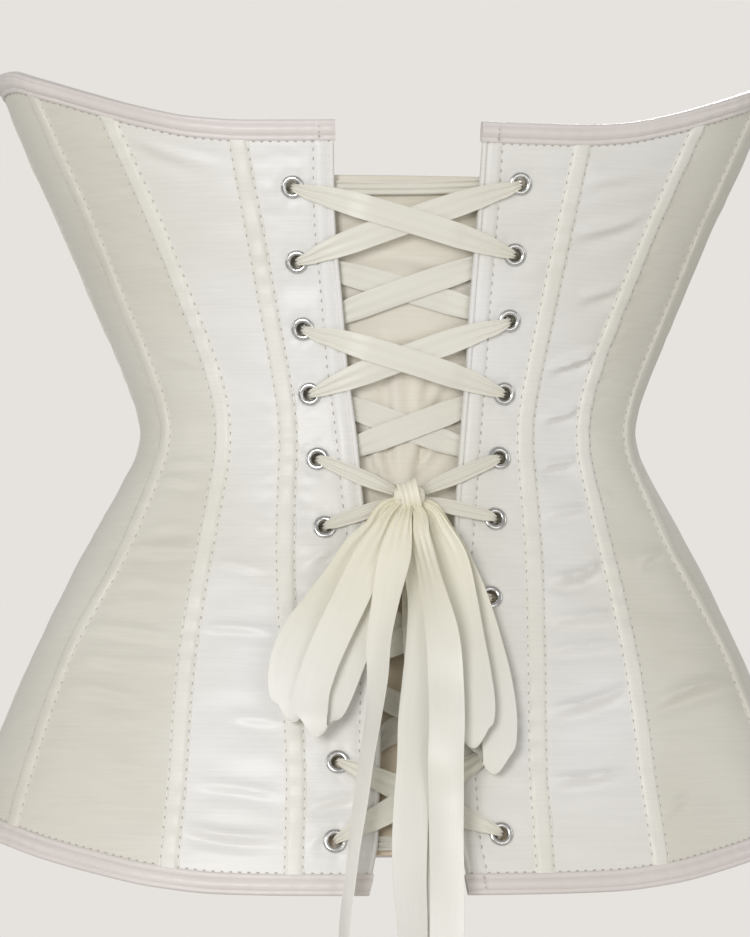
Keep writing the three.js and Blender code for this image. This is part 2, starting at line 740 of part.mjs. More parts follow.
const LOOPS = {
  loop_left_outer: table(ROUTE, [
    [10.1, -35.9, 7.2, 38, 0],
    [15.3, -45.2, 7, 38, 0],
    [22.5, -54, 6.8, 38, 0],
    [29.4, -64.4, 7.4, 36, 0],
    [38.5, -76, 9.2, 36, 0],
    [47.9, -88, 11.2, 30, 0],
    [53.1, -99.5, 11.6, 18, 0],
    [54.1, -110.9, 11, 8, 0],
    [52.6, -119.8, 9.8, 2, 0],
    [51.4, -124.7, 8.2, 4, 0],
    [49.9, -120.7, 6.6, 8, 0],
    [44.4, -111.8, 6, 14, 0],
    [36.8, -99.5, 6, 22, 0],
    [30.3, -88, 5.5, 24, 0],
    [23.7, -74.7, 5.2, 20, 0],
    [17.1, -58.9, 5, 20, 0],
    [10.8, -42.1, 5, 24, 0],
  ]),
  loop_left_inner: table(ROUTE, [
    [8.1, -38.2, 11.8, 24, 0],
    [13.5, -47.9, 13.2, 24, 0],
    [20.6, -60.8, 14.8, 24, 0],
    [28.1, -75.7, 15.8, 24, 0],
    [35.4, -90.1, 16, 22, 0],
    [41, -102.7, 16, 16, 0],
    [44.5, -114.9, 15.6, 8, 0],
    [43.9, -125.4, 15.2, 4, 0],
    [42.6, -130.7, 13.4, 4, 0],
    [40.8, -125.9, 11.6, 8, 0],
    [35.5, -115.8, 10.4, 12, 0],
    [29.8, -102.8, 9.2, 18, 0],
    [24.5, -89.2, 9, 18, 0],
    [18.7, -74.8, 8.8, 14, 0],
    [13.3, -58.2, 9, 12, 0],
    [9.2, -41.9, 9, 14, 0],
  ]),
  loop_right_inner: table(ROUTE, [
    [-7, -38.1, 11.4, -24, 0],
    [-10.3, -46.1, 13.2, -22, 0],
    [-15.2, -59.1, 14.5, -16, 0],
    [-18, -74, 14.6, -12, 0],
    [-20.3, -89.7, 14.8, -10, 0],
    [-22.6, -105.2, 15, -8, 0],
    [-23.6, -119, 15.6, -6, 0],
    [-22.4, -129.1, 15.2, -4, 0],
    [-21.2, -135.2, 13.6, -2, 0],
    [-20.3, -130.4, 12, 2, 0],
    [-17.6, -119.1, 11, 4, 0],
    [-15.7, -104.4, 10.4, 6, 0],
    [-13.8, -89.6, 9.8, 8, 0],
    [-11.9, -74.8, 9.4, 8, 0],
    [-9.2, -58.1, 9, 10, 0],
    [-5.9, -41.8, 9, 12, 0],
  ]),
  loop_right_outer: table(ROUTE, [
    [-7.1, -35.9, 7.2, -34, 0],
    [-11.9, -45.9, 7, -34, 0],
    [-18.2, -60.5, 6.8, -30, 0],
    [-24, -75.5, 6.8, -24, 0],
    [-28.7, -92.1, 7.2, -16, 0],
    [-32.2, -108.5, 7.8, -10, 0],
    [-33.5, -124.9, 8.4, -4, 0],
    [-32.1, -137.8, 8.8, 0, 0],
    [-30.4, -145.9, 7.2, 0, 0],
    [-29.7, -137.9, 5.2, -2, 0],
    [-26.3, -129.8, 4.8, -6, 0],
    [-22.6, -117.5, 4.8, -10, 0],
    [-19.9, -101.1, 4.8, -8, 0],
    [-17.2, -83, 5, -12, 0],
    [-12.9, -63, 5, -18, 0],
    [-8, -42.9, 5, -24, 0],
  ]),
};

const TAILS = {
  tail_left: table(ROUTE, [
    [4.4, -39.2, 15.8, 4, 0],
    [7, -48, 17.8, 6, -8],
    [10.1, -61, 20.4, 10, -26],
    [13.6, -76.2, 21.8, 10, -44],
    [16.5, -90.9, 22, 8, -54],
    [17.7, -108, 21, 8, -62],
    [20, -124.1, 19, 8, -68],
    [23.1, -139.8, 17.4, 8, -72],
    [25.8, -155.8, 16.2, 8, -74],
    [28.5, -172.1, 15.6, 8, -75],
    [30.6, -188, 14.8, 6, -77],
    [32.3, -201.9, 14, 4, -79],
    [33.1, -215.4, 13.4, 4, -80],
    [33.1, -229.8, 13, 2, -80],
    [33.8, -241.7, 12.8, 2, -79],
  ]),
  tail_middle: table(ROUTE, [
    [1, -39.8, 10.8, -4, 0],
    [-0.1, -48.2, 10.9, -6, 0],
    [-2.1, -60.7, 11.3, -4, 0],
    [-3.7, -76, 11.8, 0, 0],
    [-2.7, -90.9, 11.9, 2, 0],
    [-0.5, -108.1, 11.8, 2, 0],
    [1.6, -123.9, 11.6, 0, 0],
    [2.5, -140, 11.2, -2, 0],
    [4.1, -156.1, 10.6, -4, 0],
    [5.3, -172, 10.2, -4, 6],
    [5.6, -188, 10.4, -2, 16],
    [5, -201.9, 11, 0, 24],
    [4.8, -215.7, 11.5, 0, 30],
    [4.4, -229.7, 11.8, 2, 32],
    [4, -243.6, 11.8, 2, 32],
    [3.6, -254, 11.8, 2, 30],
  ]),
  tail_back: table(ROUTE, [
    [2, -40, 6.2, -6, 0],
    [0, -48, 6.8, -8, 0],
    [-2, -61, 6.8, -8, 0],
    [-2, -76, 6.2, -6, 0],
    [-2, -91, 6, -4, 0],
    [-3, -108, 6, -2, 0],
    [-5, -124, 6.0, 0, 0],
    [-5, -140, 6.0, 0, 0],
    [-4, -156, 6.0, 0, 0],
    [-3, -172, 6.0, -2, 0],
    [-3, -188, 5.8, -2, 0],
    [-3, -203, 5.4, 0, 0],
    [-4, -216, 5.0, 2, 0],
    [-5, -228, 4.8, 2, 0],
    [-5, -239, 4.6, 2, 0],
  ]),
  tail_right: table(ROUTE, [
    [-1.6, -39.1, 14.4, -8, -40],
    [-1.7, -47.2, 18.8, -10, -58],
    [-3.9, -59.3, 21.6, -12, -62],
    [-6.9, -75, 22.8, -12, -50],
    [-9.3, -89.7, 22.6, -6, -32],
    [-10.1, -107.6, 21.2, 0, -18],
    [-9.9, -123.7, 21.3, 2, -12],
    [-9.1, -139.8, 19.7, 2, -14],
    [-9.2, -155.9, 15.4, 2, -22],
    [-8.9, -171.9, 14.2, 0, -24],
    [-9.1, -187.9, 13.2, 0, -26],
    [-9, -201.9, 12.4, 0, -28],
    [-8.9, -215.8, 12, 2, -28],
    [-9.3, -229.8, 11.8, 2, -26],
    [-9.8, -241.8, 11.6, 2, -26],
    [-9.7, -251.8, 11.6, 2, -26],
  ]),
};

const GATHERED = [6.5, 11];

function freeRibbonGeometry(route, gatheredEnds) {
  const radians = THREE.MathUtils.degToRad;
  const lowest = Math.min(...route.map(({ z }) => z));
  const stations = route.map(({ x, z, lift, lean, turn }, i) => {
    const fromEnd = gatheredEnds === 2 ? Math.min(i, route.length - 1 - i) : i;
    const flat = Math.cos(radians(turn));
    const [sideways, upward] = [Math.cos(radians(lean)), Math.sin(radians(lean))];
    const slope = (backSurface(x + sideways, z + upward) - backSurface(x - sideways, z - upward)) / 2;
    return {
      point: behindBack(x, z, lift),
      across: new THREE.Vector3(
        sideways * flat, Math.sin(radians(turn)) + slope * flat, upward * flat),
      width: GATHERED[fromEnd] ?? RIBBON_FREE,
      thick: RIBBON_THICK,
      folded: gatheredEnds === 2 && z === lowest,
    };
  });
  return ribbonGeometry(stations);
}

// Materials
const material = (color, roughness, metalness) => (
  new THREE.MeshStandardMaterial({ color, roughness, metalness, side: THREE.FrontSide }));

const SATIN = material(0xe9e5db, 0.38, 0);
const BINDING_SATIN = material(0xeadfd9, 0.35, 0);
const MODESTY_SATIN = material(0xe6dac6, 0.5, 0);
const RIBBON_SATIN = material(0xf3eedb, 0.35, 0);
const EYELET_METAL = material(0xb9b9b6, 0.25, 1);

// Assembly
const corset = new THREE.Group();

function addPiece(name, geometry, look) {
  const mesh = new THREE.Mesh(geometry, look);
  mesh.name = name;
  corset.add(mesh);
}

const PANELS = table(['name', 'from', 'to', 'plain'], [
  ['panel_back', 'a', 'b', 2],
  ['panel_side_back', 'b', 'c', 2],
  ['panel_side', 'c', 'd', 3],
  ['panel_side_front', 'd', 'e', 4],
]);
const FRONT_PLAIN = 8;

// The columns of every panel on one side, from the centre back towards the front
const sideColumns = (side) => [
  lacingColumns(side),
  ...PANELS.map(({ from, to, plain }) => panelColumns(
    seamFrom(side, from), seamFrom(side, to), plain)),
];

const rightSeamBeyondFront = (offset) => (z) => 2 + seamLine(-1, 'e', -offset)(z);
const frontColumns = panelColumns(seamFrom(1, 'e'), rightSeamBeyondFront, FRONT_PLAIN);

[1, -1].forEach((side) => {
  addPiece(`panel_centre_back_${sideName(side)}`, lacingPanelGeometry(side), SATIN);
  const columns = sideColumns(side);
  PANELS.forEach(({ name }, i) => {
    addPiece(`${name}_${sideName(side)}`, panelGeometry(columns[i + 1]), SATIN);
  });
  ['a', 'b', 'c', 'd', 'e'].forEach((seam) => {
    addPiece(`bone_casing_${seam}_${sideName(side)}`, casingGeometry(side, seam), SATIN);
  });
  EYELETS.forEach((row, i) => {
    addPiece(
      `eyelet_${sideName(side)}_${i + 1}`,
      eyeletGeometry(eyeletSeat(side, row[sideName(side)])),
      EYELET_METAL,
    );
  });
});
addPiece('panel_centre_front', panelGeometry(frontColumns), SATIN);

// One binding runs round the whole edge, folded in at both ends of the back opening
const bindingColumns = (side) => {
  const near = LACING_COLUMNS.map(({ inset }) => ({
    line: edgeLine(side, inset), folded: inset < BINDING_FOLD }));
  const end = { line: edgeLine(side, -0.6), folded: true };
  const rest = sideColumns(side).flatMap((columns, i) => (
    columns.slice(i === 0 ? LACING_COLUMNS.length : 1, i < PANELS.length ? -1 : undefined)));
  return [end, ...near, ...rest.map((line) => ({ line, folded: false }))];
};
const roundTheEdge = [
  ...bindingColumns(1),
  ...frontColumns.map((line) => ({ line, folded: false })),
  ...bindingColumns(-1).reverse().map(({ line, folded }) => ({ line: (z) => 2 + line(z), folded })),
];
addPiece('binding_top', bindingGeometry(roundTheEdge, ROWS - 1, ROWS - 2), BINDING_SATIN);
addPiece('binding_hem', bindingGeometry(roundTheEdge, 0, 1), BINDING_SATIN);

addPiece('modesty_panel', modestyGeometry(), MODESTY_SATIN);
addPiece('modesty_band', modestyBandGeometry(), MODESTY_SATIN);

addPiece('lace_upper', laceGeometryOf([4, 3, 2, 1, 0]), RIBBON_SATIN);
addPiece('lace_lower', laceGeometryOf([5, 6, 7, 8, 9]), RIBBON_SATIN);
addPiece('bow_knot', knotGeometry(), RIBBON_SATIN);
Object.entries(LOOPS).forEach(([name, route]) => {
  addPiece(name, freeRibbonGeometry(route, 2), RIBBON_SATIN);
});
Object.entries(TAILS).forEach(([name, route]) => {
  addPiece(name, freeRibbonGeometry(route, 1), RIBBON_SATIN);
});

export default corset;
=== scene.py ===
"""Corset top in ivory satin, laced up the back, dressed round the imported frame.

Sizes are in millimetres in the part's own frame: +X is the wearer's left, +Y the laced back,
+Z up, and the origin is the middle of the waist. They become metres when a mesh is made.
"""
import math

import bpy
import numpy as np
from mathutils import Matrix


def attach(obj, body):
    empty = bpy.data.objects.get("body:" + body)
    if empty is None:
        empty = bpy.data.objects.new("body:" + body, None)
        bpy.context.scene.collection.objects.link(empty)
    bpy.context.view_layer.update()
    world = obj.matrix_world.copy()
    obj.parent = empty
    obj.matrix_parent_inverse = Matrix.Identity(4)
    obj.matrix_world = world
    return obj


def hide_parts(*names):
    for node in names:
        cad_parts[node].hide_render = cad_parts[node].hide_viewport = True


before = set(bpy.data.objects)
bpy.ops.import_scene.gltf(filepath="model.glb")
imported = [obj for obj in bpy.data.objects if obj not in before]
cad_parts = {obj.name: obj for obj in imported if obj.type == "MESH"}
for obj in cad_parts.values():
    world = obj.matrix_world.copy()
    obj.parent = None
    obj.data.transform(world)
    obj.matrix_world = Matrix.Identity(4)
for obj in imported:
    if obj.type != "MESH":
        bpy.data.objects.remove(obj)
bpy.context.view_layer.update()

MM = 0.001
ROOT = "root"


def table(columns, rows):
    """A short table as one array for each named column."""
    return {name: np.array([row[i] for row in rows], float) for i, name in enumerate(columns)}


def add_object(name, data):
    added = bpy.data.objects.new(name, data)
    bpy.context.scene.collection.objects.link(added)
    return added


def pose_of(x_axis, z_axis, place_m):
    """The pose of a camera or a lamp, which looks down its own z axis."""
    pose = np.eye(4)
    pose[:3] = np.stack([x_axis, np.cross(z_axis, x_axis), z_axis, place_m], -1)
    return pose.T.tolist()


# Camera: behind the wearer, a little to one side and below, as the photograph was taken
IMAGE_TALL = 937
FOCAL_PX = 3571.4
CAMERA_TARGET = np.array([14.13, 78.48, -19.21])
CAMERA_DISTANCE = 1500.0
CAMERA_AZIMUTH = math.radians(174)
CAMERA_ELEVATION = math.radians(-3)


def make_camera():
    data = bpy.data.cameras.new("camera")
    data.sensor_fit = "VERTICAL"
    data.sensor_height = 24
    data.lens = FOCAL_PX / IMAGE_TALL * data.sensor_height
    data.clip_start = 0.05
    data.clip_end = 50
    camera = add_object("camera", data)
    flat = math.cos(CAMERA_ELEVATION)
    back = np.array([
        math.sin(CAMERA_AZIMUTH) * flat,
        -math.cos(CAMERA_AZIMUTH) * flat,
        math.sin(CAMERA_ELEVATION),
    ])
    right = np.array([math.cos(CAMERA_AZIMUTH), math.sin(CAMERA_AZIMUTH), 0])
    camera.matrix_world = pose_of(right, back, (CAMERA_TARGET + CAMERA_DISTANCE * back) * MM)
    bpy.context.scene.camera = camera


make_camera()

# Driving sizes
CLOTH = 1.6
SEAM_GAP = 0.3
BINDING_ROOM = 7.5
EYELET_INSET = 17.5
BACK_ROUNDNESS = 2.25
FRONT_ROUNDNESS = 2.1
BUST = {"fraction": 0.785, "z": 90, "out": 25, "wide": 50, "above": 46, "below": 38}

SECTIONS = table(["z", "half_width", "back", "front"], [
    [-211, 199.0, 124.0, 106],
    [-181, 189.0, 121.0, 107],
    [-144, 175.0, 113.0, 107],
    [-107, 160.0, 103.0, 103],
    [-67, 141.5, 92.0, 95],
    [-40, 127.2, 85.5, 89],
    [-21, 116.7, 82.0, 86],
    [-9, 110.8, 80.8, 85],
    [0, 109.2, 80.5, 84],
    [9, 110.6, 81.0, 84],
    [18, 113.4, 82.0, 85],
    [55, 128.7, 87.5, 91],
    [89, 143.2, 93.0, 97],
    [124, 159.8, 98.0, 102],
    [154, 172.0, 101.0, 106],
    [184, 180.0, 102.0, 108],
])

SEAMS = table(["z", "a", "b", "c", "d", "e"], [
    [-195, 0.104, 0.208, 0.370, 0.530, 0.740],
    [-150, 0.108, 0.214, 0.378, 0.532, 0.745],
    [-100, 0.124, 0.229, 0.380, 0.540, 0.765],
    [-50, 0.147, 0.243, 0.358, 0.548, 0.790],
    [-20, 0.160, 0.254, 0.364, 0.550, 0.798],
    [0, 0.167, 0.263, 0.373, 0.550, 0.800],
    [20, 0.171, 0.267, 0.378, 0.550, 0.798],
    [60, 0.175, 0.283, 0.388, 0.545, 0.790],
    [120, 0.178, 0.308, 0.398, 0.540, 0.780],
    [160, 0.178, 0.325, 0.410, 0.540, 0.770],
])

CENTRE_BACK_EDGE = table(["z", "left", "right"], [
    [-200, 23.0, 21.0],
    [-185, 19.4, 18.5],
    [-171, 17.0, 16.0],
    [-125, 14.7, 14.3],
    [-104, 13.8, 14.0],
    [-66, 16.0, 16.0],
    [-37, 19.2, 19.0],
    [-6, 21.9, 22.0],
    [24, 26.0, 24.2],
    [50, 28.6, 25.4],
    [89, 32.4, 27.9],
    [130, 33.5, 29.9],
])

EDGE_HEIGHTS = table(["fraction", "neck", "hem"], [
    [0.000, 124.5, -193.5],
    [0.110, 123.8, -193.3],
    [0.165, 124.0, -192.8],
    [0.220, 126.0, -190.2],
    [0.275, 131.3, -185.3],
    [0.330, 138.7, -180.0],
    [0.385, 146.5, -174.6],
    [0.440, 152.8, -171.0],
    [0.530, 154.5, -169.5],
    [0.640, 152.5, -173.0],
    [0.740, 148.0, -180.0],
    [0.800, 139.0, -184.5],
    [0.860, 128.0, -188.0],
    [0.930, 121.0, -190.5],
    [1.000, 118.5, -191.0],
])

EYELETS = table(["left", "right"], [
    [97.6, 100.1], [66.8, 70.7], [39.1, 43.2], [12.0, 12.7], [-15.3, -14.5], [-44.1, -40.4],
    [-73.4, -73.3], [-104.0, -101.6], [-141.1, -136.8], [-172.9, -170.4],
])
EYELET_ROWS = len(EYELETS["left"])


# Smooth values and the body's form, worked out for whole arrays of places at once
def smooth_curve(xs, ys, slopes, x):
    """The values at each x of the curve that has these slopes at its known places."""
    k = np.clip(np.searchsorted(xs, x) - 1, 0, len(xs) - 2)
    span = xs[k + 1] - xs[k]
    t = (x - xs[k]) / span
    if ys.ndim > 1:
        span, t = span[:, None], t[:, None]
    s = 1 - t
    start = ys[k] * (1 + 2 * t) * s * s + slopes[k] * span * t * s * s
    return start + ys[k + 1] * (3 - 2 * t) * t * t - slopes[k + 1] * span * t * t * s


def smooth_at(rows, column, x):
    """A column's smooth value at x, a place in the table's first column."""
    xs, ys = next(iter(rows.values())), rows[column]
    slopes = np.diff(ys) / np.diff(xs)
    before, after = slopes[:-1], slopes[1:]
    turning = before * after <= 0
    inner = np.where(turning, 0, 2 * before * after / np.where(turning, 1, before + after))
    tangents = np.concatenate([slopes[:1], inner, slopes[-1:]])
    return smooth_curve(xs, ys, tangents, np.clip(x, xs[0], xs[-1]))


def smooth_step(low, high, x):
    t = np.clip((x - low) / (high - low), 0, 1)
    return t * t * (3 - 2 * t)


def unit(vectors):
    return vectors / np.linalg.norm(vectors, axis=-1, keepdims=True)


def section_point(turn, z):
    cos, sin = np.cos(turn), np.sin(turn)
    behind = cos >= 0
    power = 2 / np.where(behind, BACK_ROUNDNESS, FRONT_ROUNDNESS)
    depth = np.where(behind, smooth_at(SECTIONS, "back", z), smooth_at(SECTIONS, "front", z))
    wide = smooth_at(SECTIONS, "half_width", z)
    x = wide * np.sign(sin) * np.abs(sin) ** power
    y = depth * np.sign(cos) * np.abs(cos) ** power
    return np.stack([x, y, z + 0 * turn], -1)


Z_STEP = 2.0
Z_GRID = np.arange(-216.0, 188.0, Z_STEP)
FRACTION_STEPS = 400
GIRTH_STEPS = 200


def girth_tables():
    """The turn at each share of the half girth, and the half girth, for each height."""
    turns = np.linspace(0, np.pi, GIRTH_STEPS + 1)
    shares = np.linspace(0, 1, FRACTION_STEPS + 1)
    rows, girths = [], []
    for z in Z_GRID:
        points = section_point(turns, np.full_like(turns, z))
        steps = np.linalg.norm(np.diff(points, axis=0), axis=1)
        lengths = np.concatenate([[0], np.cumsum(steps)])
        girths.append(lengths[-1])
        rows.append(np.interp(shares * lengths[-1], lengths, turns))
    return np.array(rows), np.array(girths)


TURNS, HALF_GIRTHS = girth_tables()


def half_girth(z):
    return np.interp(z, Z_GRID, HALF_GIRTHS)


def wrapped(fraction):
    past = np.where(fraction > 1, fraction - 2, fraction)
    return np.where(past < -1, past + 2, past)


def turn_at(fraction, z):
    row = np.clip((z - Z_GRID[0]) / Z_STEP, 0, len(Z_GRID) - 1.001)
    column = np.clip(np.abs(fraction) * FRACTION_STEPS, 0, FRACTION_STEPS - 0.001)
    i, j = row.astype(int), column.astype(int)
    up, across = row - i, column - j
    low = TURNS[i, j] * (1 - across) + TURNS[i, j + 1] * across
    high = TURNS[i + 1, j] * (1 - across) + TURNS[i + 1, j + 1] * across
    return np.where(fraction < 0, -1, 1) * (low * (1 - up) + high * up)


def body_point(any_fraction, z):
    fraction, z = np.broadcast_arrays(wrapped(np.asarray(any_fraction)), np.asarray(z, float))
    turn = turn_at(fraction, z)
    across = (np.abs(fraction) - BUST["fraction"]) * half_girth(z) / BUST["wide"]
    up = (z - BUST["z"]) / np.where(z > BUST["z"], BUST["above"], BUST["below"])
    lift = BUST["out"] * np.exp(-across ** 2 - up ** 2)
    along = section_point(turn + 0.01, z) - section_point(turn - 0.01, z)
    out = unit(np.stack([-along[..., 1], along[..., 0], 0 * z], -1))
    return section_point(turn, z) + lift[..., None] * out


TOUCH = 0.6


def outward_at(fraction, z):
    step = TOUCH / half_girth(z)
    along = body_point(fraction + step, z) - body_point(fraction - step, z)
    up = body_point(fraction, z + TOUCH) - body_point(fraction, z - TOUCH)
    return unit(np.cross(up, along))


def on_body(fraction, z, out):
    return body_point(fraction, z) + np.asarray(out)[..., None] * outward_at(fraction, z)


# Lines down the body
def side_name(side):
    return "left" if side > 0 else "right"


def edge_width(side, z):
    return smooth_at(CENTRE_BACK_EDGE, side_name(side), z)


def edge_line(side, inset):
    return lambda z: side * (edge_width(side, z) + inset) / half_girth(z)


def seam_line(side, seam, offset=0.0):
    return lambda z: side * (smooth_at(SEAMS, seam, z) + offset / half_girth(z))


def edge_height(which, fraction):
    return smooth_at(EDGE_HEIGHTS, which, np.abs(wrapped(fraction)))


SETTLING_ROUNDS = 8


def height_on_edge(which, line):
    """The height where a line down the body meets the neckline or the hem."""
    z = np.zeros_like(line(0.0))
    for _ in range(SETTLING_ROUNDS):
        z = edge_height(which, line(z))
    return z


def place(line, share):
    """Fraction and height at a share of the way from the hem to the neckline along a line."""
    z = np.zeros(np.broadcast_shapes(np.shape(line(0.0)), np.shape(share)))
    for _ in range(SETTLING_ROUNDS):
        fraction = line(z)
        hem = edge_height("hem", fraction)
        z = hem + share * (edge_height("neck", fraction) - hem)
    return line(z), z


def inside_edges(fraction, z):
    """How far a place is inside the nearer of the neckline and the hem."""
    return np.minimum(z - edge_height("hem", fraction), edge_height("neck", fraction) - z)


# Meshes
def volume_of(points, quads):
    a, b, c, d = (points[quads[:, i]] for i in range(4))
    first = np.einsum("ij,ij->i", a, np.cross(b, c)).sum()
    return first + np.einsum("ij,ij->i", a, np.cross(c, d)).sum()


def loft(rings, closed=False):
    """A skin over rings of equal length, closed on itself or with both ends filled."""
    count, around = rings.shape[:2]
    index = np.arange(count * around).reshape(count, around)
    beside = np.roll(index, -1, axis=1)
    quads = np.stack([index, beside, np.roll(beside, -1, axis=0), np.roll(index, -1, axis=0)], -1)
    quads = quads[:count if closed else -1].reshape(-1, 4)
    points = rings.reshape(-1, 3)
    caps = [] if closed else [index[0][::-1], index[-1]]
    if volume_of(points, quads) < 0:
        quads = quads[:, ::-1]
        caps = [cap[::-1] for cap in caps]
    return points, quads.tolist() + [cap.tolist() for cap in caps]


def shell(outer, inner, keep=None):
    """A wall between two grids of points, with its edges and any holes closed."""
    rows, columns = outer.shape[:2]
    index = np.arange(rows * columns).reshape(rows, columns)
    quads = np.stack([index[:-1, :-1], index[:-1, 1:], index[1:, 1:], index[1:, :-1]], -1)
    quads = quads.reshape(-1, 4) if keep is None else quads[keep]
    start = quads.ravel()
    stop = np.roll(quads, -1, axis=1).ravel()
    size = rows * columns
    single = ~np.isin(start * size + stop, stop * size + start)
    edges = np.stack([start[single], stop[single]], -1)
    walls = np.stack([edges[:, 1], edges[:, 0], edges[:, 0] + size, edges[:, 1] + size], -1)
    points = np.concatenate([outer.reshape(-1, 3), inner.reshape(-1, 3)])
    faces = np.concatenate([quads, quads[:, ::-1] + size, walls])
    used, places = np.unique(faces, return_inverse=True)
    faces = places.reshape(-1, 4)
    points = points[used]
    if volume_of(points, faces) < 0:
        faces = faces[:, ::-1]
    return points, faces.tolist(), used


def joined(parts):
    points, faces, start = [], [], 0
    for part_points, part_faces in parts:
        points.append(part_points)
        faces.extend([[i + start for i in face] for face in part_faces])
        start += len(part_points)
    return np.concatenate(points), faces


SHARP = math.radians(55)


def cloth_map(across, along, near=0.0):
    """Where each point of a mesh lies on its cloth, for the threads to follow."""
    return np.stack(np.broadcast_arrays(across, along, near), -1).reshape(-1, 3)


def make_piece(name, skin, material, cloth=None, kind=None):
    """A visible piece. One that has a kind stands for the solid of its name."""
    points, faces = skin
    nodes = [name] if kind else []
    full_name = f"{name}_{kind}" if kind else name
    mesh = bpy.data.meshes.new(full_name)
    mesh.from_pydata((points * MM).tolist(), [], faces)
    if cloth is not None:
        layer = mesh.attributes.new("cloth", "FLOAT_VECTOR", "POINT")
        layer.data.foreach_set("vector", (cloth * MM).astype(np.float32).ravel())
    mesh.materials.append(material)
    mesh.shade_smooth()
    mesh.set_sharp_from_angle(angle=SHARP)
    piece = add_object(full_name, mesh)
    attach(piece, ROOT)
    if nodes:
        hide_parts(*nodes)
    return piece


# Materials
class Nodes:
    """The node tree of a material or a world, with short calls for the nodes used here."""

    def __init__(self, owner):
        owner.use_nodes = True
        self.owner = owner
        self.tree = owner.node_tree

    def plug(self, value, socket):
        """Links an output into a socket, or sets the socket to a plain value."""
        if isinstance(value, bpy.types.NodeSocket):
            self.tree.links.new(value, socket)
        else:
            socket.default_value = value

    def set(self, node, values):
        for name, value in values.items():
            self.plug(value, node.inputs[name])

    def make(self, kind, output, values, **settings):
        """The output of a new node with these inputs and settings."""
        node = self.tree.nodes.new(kind)
        for name, value in settings.items():
            setattr(node, name, value)
        self.set(node, values)
        return node.outputs[output]

    def shade(self, **values):
        """Sets the surface: a name's words are joined with underscores."""
        shader = self.tree.nodes["Principled BSDF"]
        self.set(shader, {name.replace("_", " "): value for name, value in values.items()})
        return shader.outputs[0]

    def cloth_place(self, stretch):
        """The place along and across the cloth, in metres, stretched to a pattern's scale."""
        source = self.make("ShaderNodeAttribute", "Vector", {}, attribute_name="cloth")
        return self.make("ShaderNodeVectorMath", 0, {0: source, 1: stretch}, operation="MULTIPLY")

    def object_place(self):
        return self.make("ShaderNodeTexCoord", "Object", {})

    def noise(self, place_socket, scale, detail=2.0, rough=0.5):
        return self.make("ShaderNodeTexNoise", "Fac", {
            "Vector": place_socket, "Scale": scale, "Detail": detail, "Roughness": rough})

    def ramp(self, value, low, dark, high, light):
        """A colour that goes from dark at the low value to light at the high one."""
        colour = self.make("ShaderNodeValToRGB", "Color", {"Fac": value})
        for element, at, tone in zip(colour.node.color_ramp.elements, (low, high), (dark, light)):
            element.position = at
            element.color = (*tone, 1)
        return colour

    def mix(self, share, one, two, blend="MIX"):
        return self.make(
            "ShaderNodeMix", 2, {0: share, 6: one, 7: two}, data_type="RGBA", blend_type=blend)

    def maths(self, operation, one, two):
        return self.make("ShaderNodeMath", 0, {0: one, 1: two}, operation=operation)

    def smooth_share(self, value, none, full):
        """A share that rises smoothly from 0 at one value to 1 at another."""
        return self.make(
            "ShaderNodeMapRange", "Result", {"Value": value, "From Min": none, "From Max": full},
            interpolation_type="SMOOTHSTEP")

    def bump(self, height, distance, under=None):
        values = {"Strength": 1.0, "Distance": distance, "Height": height}
        return self.make(
            "ShaderNodeBump", "Normal", values if under is None else {**values, "Normal": under})


# The slubs run across the cloth, so their pattern is stretched far less across than along it
SLUB_STRETCH = (28.0, 900.0, 1.0)
THREAD_STRETCH = (900.0, 2600.0, 1.0)
THREAD_RISE = 0.00002
GLOSS_SPREAD = 0.10


def satin(name, light, dark, rough, sheen, slub=0.00006, streaks=0.95, painted_glow=None):
    nodes = Nodes(bpy.data.materials.new(name))
    broad = nodes.noise(nodes.object_place(), 11.0, 2.0, 0.45)
    tone = nodes.ramp(broad, 0.36, dark, 0.60, light)
    streak = nodes.noise(nodes.cloth_place(SLUB_STRETCH), 1.0, 3.0, 0.6)
    threads = nodes.noise(nodes.cloth_place(THREAD_STRETCH), 1.0, 1.0, 0.5)
    # A painted glow: between two heights the colour turns to the glow's tint, standing in for
    # light bounced between layers of satin
    if painted_glow is not None:
        height = nodes.make("ShaderNodeSeparateXYZ", "Z", {0: nodes.object_place()})
        glow_share = nodes.smooth_share(height, painted_glow["none"], painted_glow["full"])
        tone = nodes.mix(glow_share, tone, (*painted_glow["colour"], 1))
    shade = nodes.ramp(streak, 0.3, (streaks, streaks, streaks), 0.7, (1.0, 1.0, 1.0))
    gloss = nodes.maths("MULTIPLY", streak, GLOSS_SPREAD)
    nodes.shade(
        Base_Color=nodes.mix(1.0, tone, shade, "MULTIPLY"),
        Roughness=nodes.maths("ADD", gloss, rough - GLOSS_SPREAD / 2),
        Normal=nodes.bump(threads, THREAD_RISE, nodes.bump(streak, slub)),
        Sheen_Weight=sheen, Sheen_Roughness=0.4, Specular_IOR_Level=0.36)
    return nodes.owner


# The heights in metres between which a glow is painted into the cloth's colour, standing in for
# light bounced between layers of satin: the modesty panel's below the knot, and the bow's towards
# it
MODESTY_PAINTED_GLOW = {"none": -0.035, "full": -0.062, "colour": (0.96, 0.83, 0.65)}
BOW_PAINTED_GLOW = {"none": -0.120, "full": -0.040, "colour": (0.88, 0.85, 0.71)}

